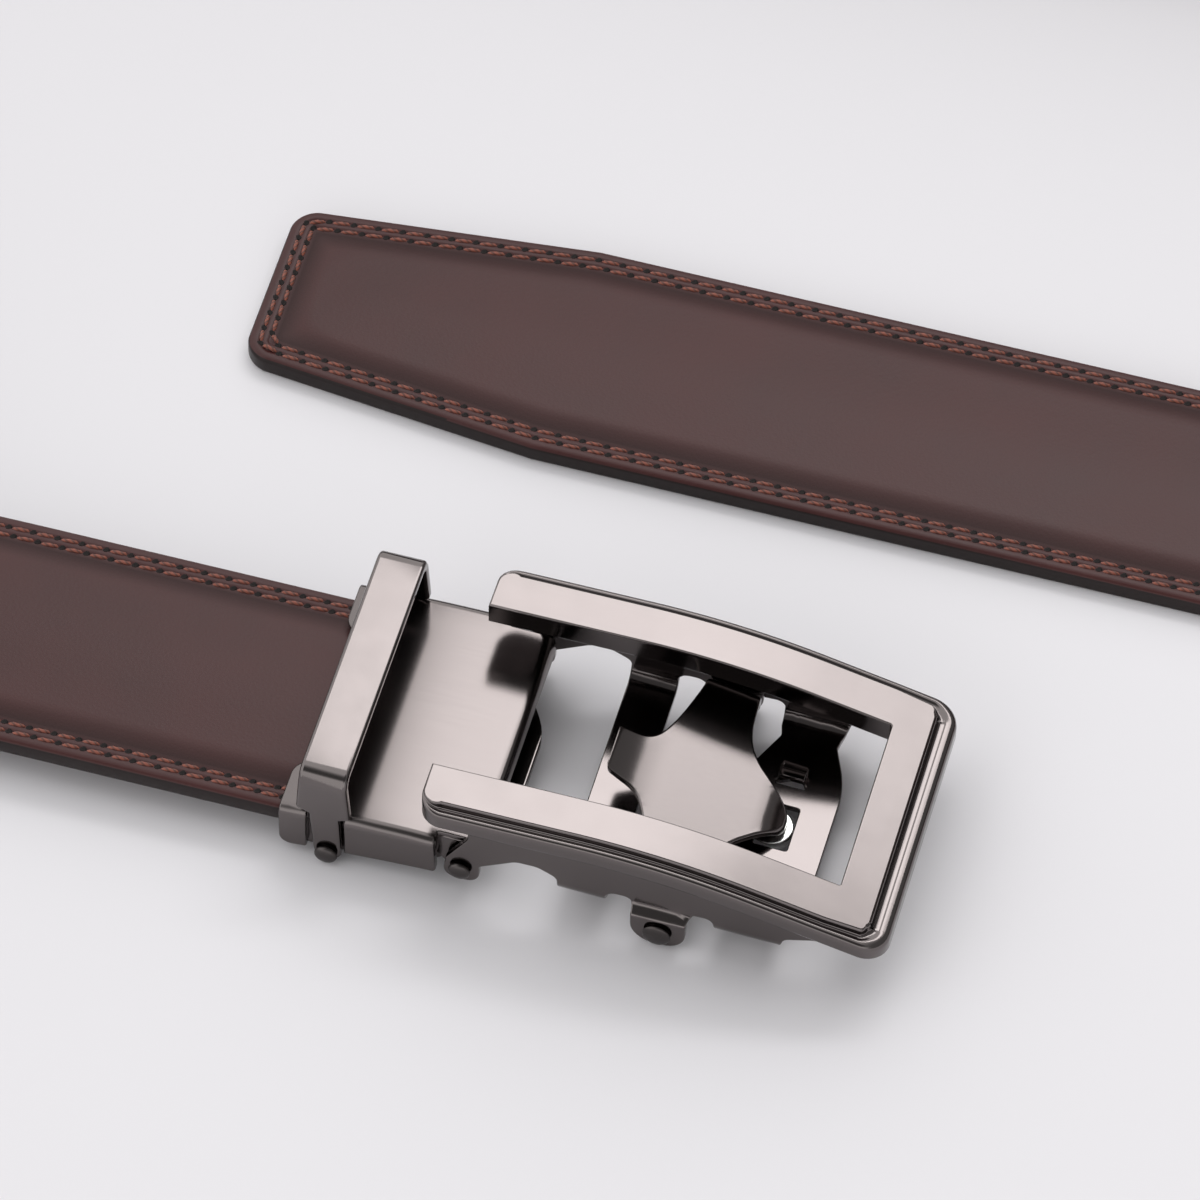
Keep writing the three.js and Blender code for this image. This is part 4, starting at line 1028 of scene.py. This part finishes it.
def stitches(name, rows, pitch, thread, sides, rings, back=False):
    """Every stitch of the rows as a short length of twisted thread that dips into its holes at both ends."""
    u = np.linspace(0, 1, rings)
    theta = np.arange(sides) / sides * 2 * math.pi
    swell = np.sqrt(np.maximum(1 - (2 * u - 1) ** 6, 0)) * 0.9 + 0.1
    level = STITCH_RISE * np.sin(u * math.pi) ** 0.7 - STITCH_SINK
    ply = 1 + 0.13 * np.cos(2 * theta[None, :] - u[:, None] * 2 * math.pi * PLY_TURNS)
    around = thread / 2 * swell[:, None] * ply
    points = []
    for number, inset in enumerate(rows):
        holes = stitch_places(inset, pitch, number)
        start, end = holes[:-1], holes[1:]
        run = end - start
        start, end = start + run * HIDDEN_SHARE, end - run * HIDDEN_SHARE
        slant = np.stack([-run[:, 1], run[:, 0]], -1) / np.linalg.norm(run, axis=1, keepdims=True)
        line = start[:, None] + (end - start)[:, None] * u[None, :, None]
        line = line + slant[:, None] * (STITCH_SLANT * (u - 0.5))[None, :, None]
        s, across = line[..., 0], line[..., 1]
        up = BACK_STITCH_SINK - level + 0 * s if back else face_height(s, across, rows) + level
        centre = on_strap(s, across, up)
        above = on_strap(s, across, up + (-1 if back else 1)) - centre
        beside = np.cross(above, np.gradient(centre, axis=1))
        beside /= np.linalg.norm(beside, axis=-1, keepdims=True)
        tube = (centre[:, :, None] + beside[:, :, None] * (around * np.cos(theta))[None, :, :, None] * 1.15
                + above[:, :, None] * (around * np.sin(theta))[None, :, :, None])
        points.append(tube.reshape(-1, 3))
    points = np.concatenate(points)
    each = rings * sides
    total = len(points) // each
    faces = [face[:1] + face[:0:-1] for face in rings_to_faces(rings, sides)]
    mesh = new_mesh(name, points, repeated(faces, each, total), waxed_thread)
    # The ply map places the painted shade between the thread's plies
    uv = []
    for r in range(rings - 1):
        for k in range(sides):
            u0, u1, v0, v1 = u[r] * PLY_TURNS, u[r + 1] * PLY_TURNS, k / sides * 2, (k + 1) / sides * 2
            uv += [(-u0, v0), (-u1, v0), (-u1, v1), (-u0, v1)]
    ends = [(0, 0)] * 2 * sides
    values = np.tile(np.array(uv + ends, np.float32), (total, 1))
    mesh.uv_layers.new(name="ply").data.foreach_set("uv", values.ravel())
    dress(mesh, "belt", weighted=False)


def hole_shade_discs(rows, pitch):
    """A near-black disc of painted shade at each end of each stitch, where the needle hole's shadow is."""
    sides = 8
    theta = np.arange(sides) / sides * 2 * math.pi
    points = []
    for number, inset in enumerate(rows):
        holes = stitch_places(inset, pitch, number)
        run = np.gradient(holes, axis=0)
        run /= np.linalg.norm(run, axis=1, keepdims=True)
        along = np.stack([run[:, 0] * math.cos(HOLE_TURN) - run[:, 1] * math.sin(HOLE_TURN),
                          run[:, 0] * math.sin(HOLE_TURN) + run[:, 1] * math.cos(HOLE_TURN)], -1)
        side = np.stack([-along[:, 1], along[:, 0]], -1)
        ring = (along[:, None] * HOLE_LENGTH * np.cos(theta)[None, :, None]
                + side[:, None] * HOLE_WIDTH * np.sin(theta)[None, :, None])
        levels = []
        for scale, height in HOLE_RINGS:
            s, across = np.moveaxis(holes[:, None] + scale * ring, -1, 0)
            levels.append(on_strap(s, across, face_height(s, across, rows) + height))
        points.append(np.stack(levels, 1).reshape(-1, 3))
    points = np.concatenate(points)
    each = len(HOLE_RINGS) * sides
    faces = repeated(rings_to_faces(len(HOLE_RINGS), sides), each, len(points) // each)
    # Painted shade: dark discs on the leather stand for the shadow in the needle holes
    dress(new_mesh("hole_shade_discs", points, faces, hole_shade_finish), "belt", weighted=False)


# Operators


class BELT_OT_strap(bpy.types.Operator):
    """Cut and crown the leather strap, paint its edges and line its back"""
    bl_idname = "belt.strap"
    bl_label = "Leather strap"

    def execute(self, context):
        sizes = context.scene.belt_strap
        strap((sizes.outer_row / MM, sizes.inner_row / MM))
        return {"FINISHED"}


class BELT_OT_stitching(bpy.types.Operator):
    """Sew both rows of stitches along the strap and round its tip, and paint the shade of their needle holes"""
    bl_idname = "belt.stitching"
    bl_label = "Stitching"

    def execute(self, context):
        sizes = context.scene.belt_strap
        rows = (sizes.outer_row / MM, sizes.inner_row / MM)
        stitches("stitching_face", rows, sizes.pitch / MM, sizes.thread / MM, 8, 7)
        stitches("stitching_back", rows, sizes.pitch / MM, sizes.thread / MM, 6, 5, back=True)
        hole_shade_discs(rows, sizes.pitch / MM)
        return {"FINISHED"}


class BELT_OT_track(bpy.types.Operator):
    """Mould the toothed track in the back of the strap's tip"""
    bl_idname = "belt.track"
    bl_label = "Ratchet track"

    def execute(self, context):
        track()
        return {"FINISHED"}


class BELT_OT_face(bpy.types.Operator):
    """Cast the face frame with its moulded rim and fold the chassis under it"""
    bl_idname = "belt.face"
    bl_label = "Face frame and chassis"

    def execute(self, context):
        piece("face_frame_cast", [face_frame()], polished_gunmetal, "face", "face_frame")
        piece("chassis_folded", [chassis()], polished_gunmetal, "face", "chassis")
        piece("magnet_disc", [magnet()], bright_nickel, "face", "magnet")
        pin = rivet(PAWL_PIN, 1.2, 1.9, -1, 20.3, 0.6)
        piece("pawl_rivet", [pin, pin.mirrored()], cast_gunmetal, "face", "pawl_pin")
        return {"FINISHED"}


class BELT_OT_pawl(bpy.types.Operator):
    """Bend the winged pawl that holds the teeth"""
    bl_idname = "belt.pawl"
    bl_label = "Pawl"

    def execute(self, context):
        piece("pawl_leaf", [pawl()], satin_gunmetal, "pawl", "pawl")
        return {"FINISHED"}


class BELT_OT_base(bpy.types.Operator):
    """Press the base plate with its keeper, its rivets and the clamp under the strap"""
    bl_idname = "belt.base"
    bl_label = "Base plate and keeper"

    def execute(self, context):
        piece("base_cover", base_plate(), satin_gunmetal, "belt", "base_plate")
        piece("keeper_bridge", [keeper()], polished_gunmetal, "belt", "keeper")
        for name, place, shaft, head, inner, outer in (("hinge", HINGE, 1, 1.5, 16.3, 18.8),
                                                       ("keeper", KEEPER_PIN, 0.8, 1.55, 15.6, 19.5)):
            pin = rivet(place, shaft, head, inner, outer)
            for end, part in (("far", pin), ("near", pin.mirrored())):
                piece(f"{name}_rivet_{end}", [part], cast_gunmetal, "belt", f"{name}_pin_{end}")
        lever = frame["nodes"]["clamp_lever"]
        lever.data.materials.clear()
        lever.data.materials.append(finish_of(satin_gunmetal))
        edge = lever.modifiers.new("broken_edges", "BEVEL")
        edge.width, edge.segments, edge.limit_method, edge.angle_limit = 0.2 * MM, 2, "ANGLE", math.radians(40)
        return {"FINISHED"}


class BELT_OT_stage(bpy.types.Operator):
    """Lay the backdrop, hang the softbox and set up the camera"""
    bl_idname = "belt.stage"
    bl_label = "Stage"

    def execute(self, context):
        look = context.scene.belt_stage
        backdrop(context.scene.belt_finish.floor_hex)
        lights(look)
        camera(look)
        return {"FINISHED"}


def backdrop(colour):
    """Seamless backdrop paper: matt."""
    size = 3.0
    mesh = bpy.data.meshes.new("floor")
    mesh.from_pydata([(x, y, 0) for x, y in ((-size, -size), (size, -size), (size, size), (-size, size))],
                     [], [(0, 1, 2, 3)])
    made, tree, surface = material("backdrop_paper", Roughness=0.95, Base_Color=linear(colour))
    surface.inputs["Specular IOR Level"].default_value = 0.1
    mesh.materials.append(made)
    floor = bpy.data.objects.new("floor", mesh)
    bpy.context.scene.collection.objects.link(floor)


def lights(look):
    """A wide softbox behind the belt, where the flat faces and the bow mirror it to the camera, and a white room
    that darkens to the right and in front of the belt."""
    width, height, distance, shift, lift = 1.2, 0.26, 1.3, 0.535, 0.11
    light = bpy.data.lights.new("softbox", "AREA")
    light.shape = "RECTANGLE"
    light.size, light.size_y = width, height
    light.energy = look.box_light * width * height * math.pi
    box = bpy.data.objects.new("softbox", light)
    turn, rise = look.azimuth, look.elevation
    aim = Vector((-math.sin(turn) * math.cos(rise), math.cos(turn) * math.cos(rise), math.sin(rise)))
    right = Vector((math.cos(turn), math.sin(turn), 0))
    box.location = aim * distance + right * shift + right.cross(aim) * lift
    box.rotation_euler = (-aim).to_track_quat("-Z", "Y").to_euler()
    bpy.context.scene.collection.objects.link(box)
    world = bpy.data.worlds.new("studio")
    world.use_nodes = True
    tree = world.node_tree
    place = add(tree, "TexCoord", {}, "Generated")
    room = look.room_light
    way = add(tree, "VectorMath", {0: place, 1: right}, "Value", operation="DOT_PRODUCT")
    near = add(tree, "VectorMath", {0: place, 1: Vector((-aim.x, -aim.y, aim.z))}, "Value", operation="DOT_PRODUCT")
    side = add(tree, "MapRange", {"Value": way, "From Min": 0.2, "From Max": 0.7, "To Min": room,
                                  "To Max": room * 0.2}, interpolation_type="SMOOTHSTEP")
    glow = add(tree, "MapRange", {"Value": near, "From Min": 0.78, "From Max": 0.94, "To Min": side,
                                  "To Max": room * 0.12}, interpolation_type="SMOOTHSTEP")
    connect(tree, tree.nodes["Background"], {"Color": (1, 1, 1, 1), "Strength": glow})
    bpy.context.scene.world = world


def camera(look):
    """A long lens at the photo's angle. The buckle's open end is left of and below the middle of the view."""
    picture, open_end = 1200, (460.66, 743.47)
    a, e = look.azimuth, look.elevation
    right = Vector((math.cos(a), math.sin(a), 0))
    ahead = Vector((-math.sin(a) * math.cos(e), math.cos(a) * math.cos(e), -math.sin(e)))
    up = right.cross(ahead)
    pixel = SENSOR / (look.lens * picture)
    aim = ahead + right * (picture / 2 - open_end[0]) * pixel - up * (picture / 2 - open_end[1]) * pixel
    aim.normalize()
    side = (right - aim * right.dot(aim)).normalized()
    data = bpy.data.cameras.new("camera")
    data.lens = look.lens
    data.sensor_width = SENSOR
    data.clip_start, data.clip_end = 0.05, 20
    view = bpy.data.objects.new("camera", data)
    turn = Matrix((side, side.cross(aim), -aim)).transposed()
    view.matrix_world = Matrix.Translation(placed(0, 0, 5) - ahead * look.distance) @ turn.to_4x4()
    bpy.context.scene.collection.objects.link(view)
    bpy.context.scene.camera = view
    settings = bpy.context.scene.view_settings
    settings.view_transform = "Standard"
    settings.look = "None"


class BELT_PT_panel(bpy.types.Panel):
    """Lists the steps that make the belt"""
    bl_label = "Ratchet Belt"
    bl_idname = "BELT_PT_panel"
    bl_space_type = "VIEW_3D"
    bl_region_type = "UI"
    bl_category = "Belt"

    def draw(self, context):
        for step in STEPS:
            self.layout.operator(step.bl_idname)


GROUPS = (("belt_finish", BELT_PG_finish), ("belt_strap", BELT_PG_strap), ("belt_stage", BELT_PG_stage))
STEPS = (BELT_OT_stage, BELT_OT_strap, BELT_OT_stitching, BELT_OT_track, BELT_OT_face, BELT_OT_pawl, BELT_OT_base)
CLASSES = (*[group for _, group in GROUPS], *STEPS, BELT_PT_panel)


def register():
    for cls in CLASSES:
        bpy.utils.register_class(cls)
    for name, group in GROUPS:
        setattr(bpy.types.Scene, name, PointerProperty(type=group))


def unregister():
    for name, _ in GROUPS:
        delattr(bpy.types.Scene, name)
    for cls in reversed(CLASSES):
        bpy.utils.unregister_class(cls)


def main():
    register()
    for step in STEPS:
        family, name = step.bl_idname.split(".")
        getattr(getattr(bpy.ops, family), name)()


if __name__ == "__main__":
    main()
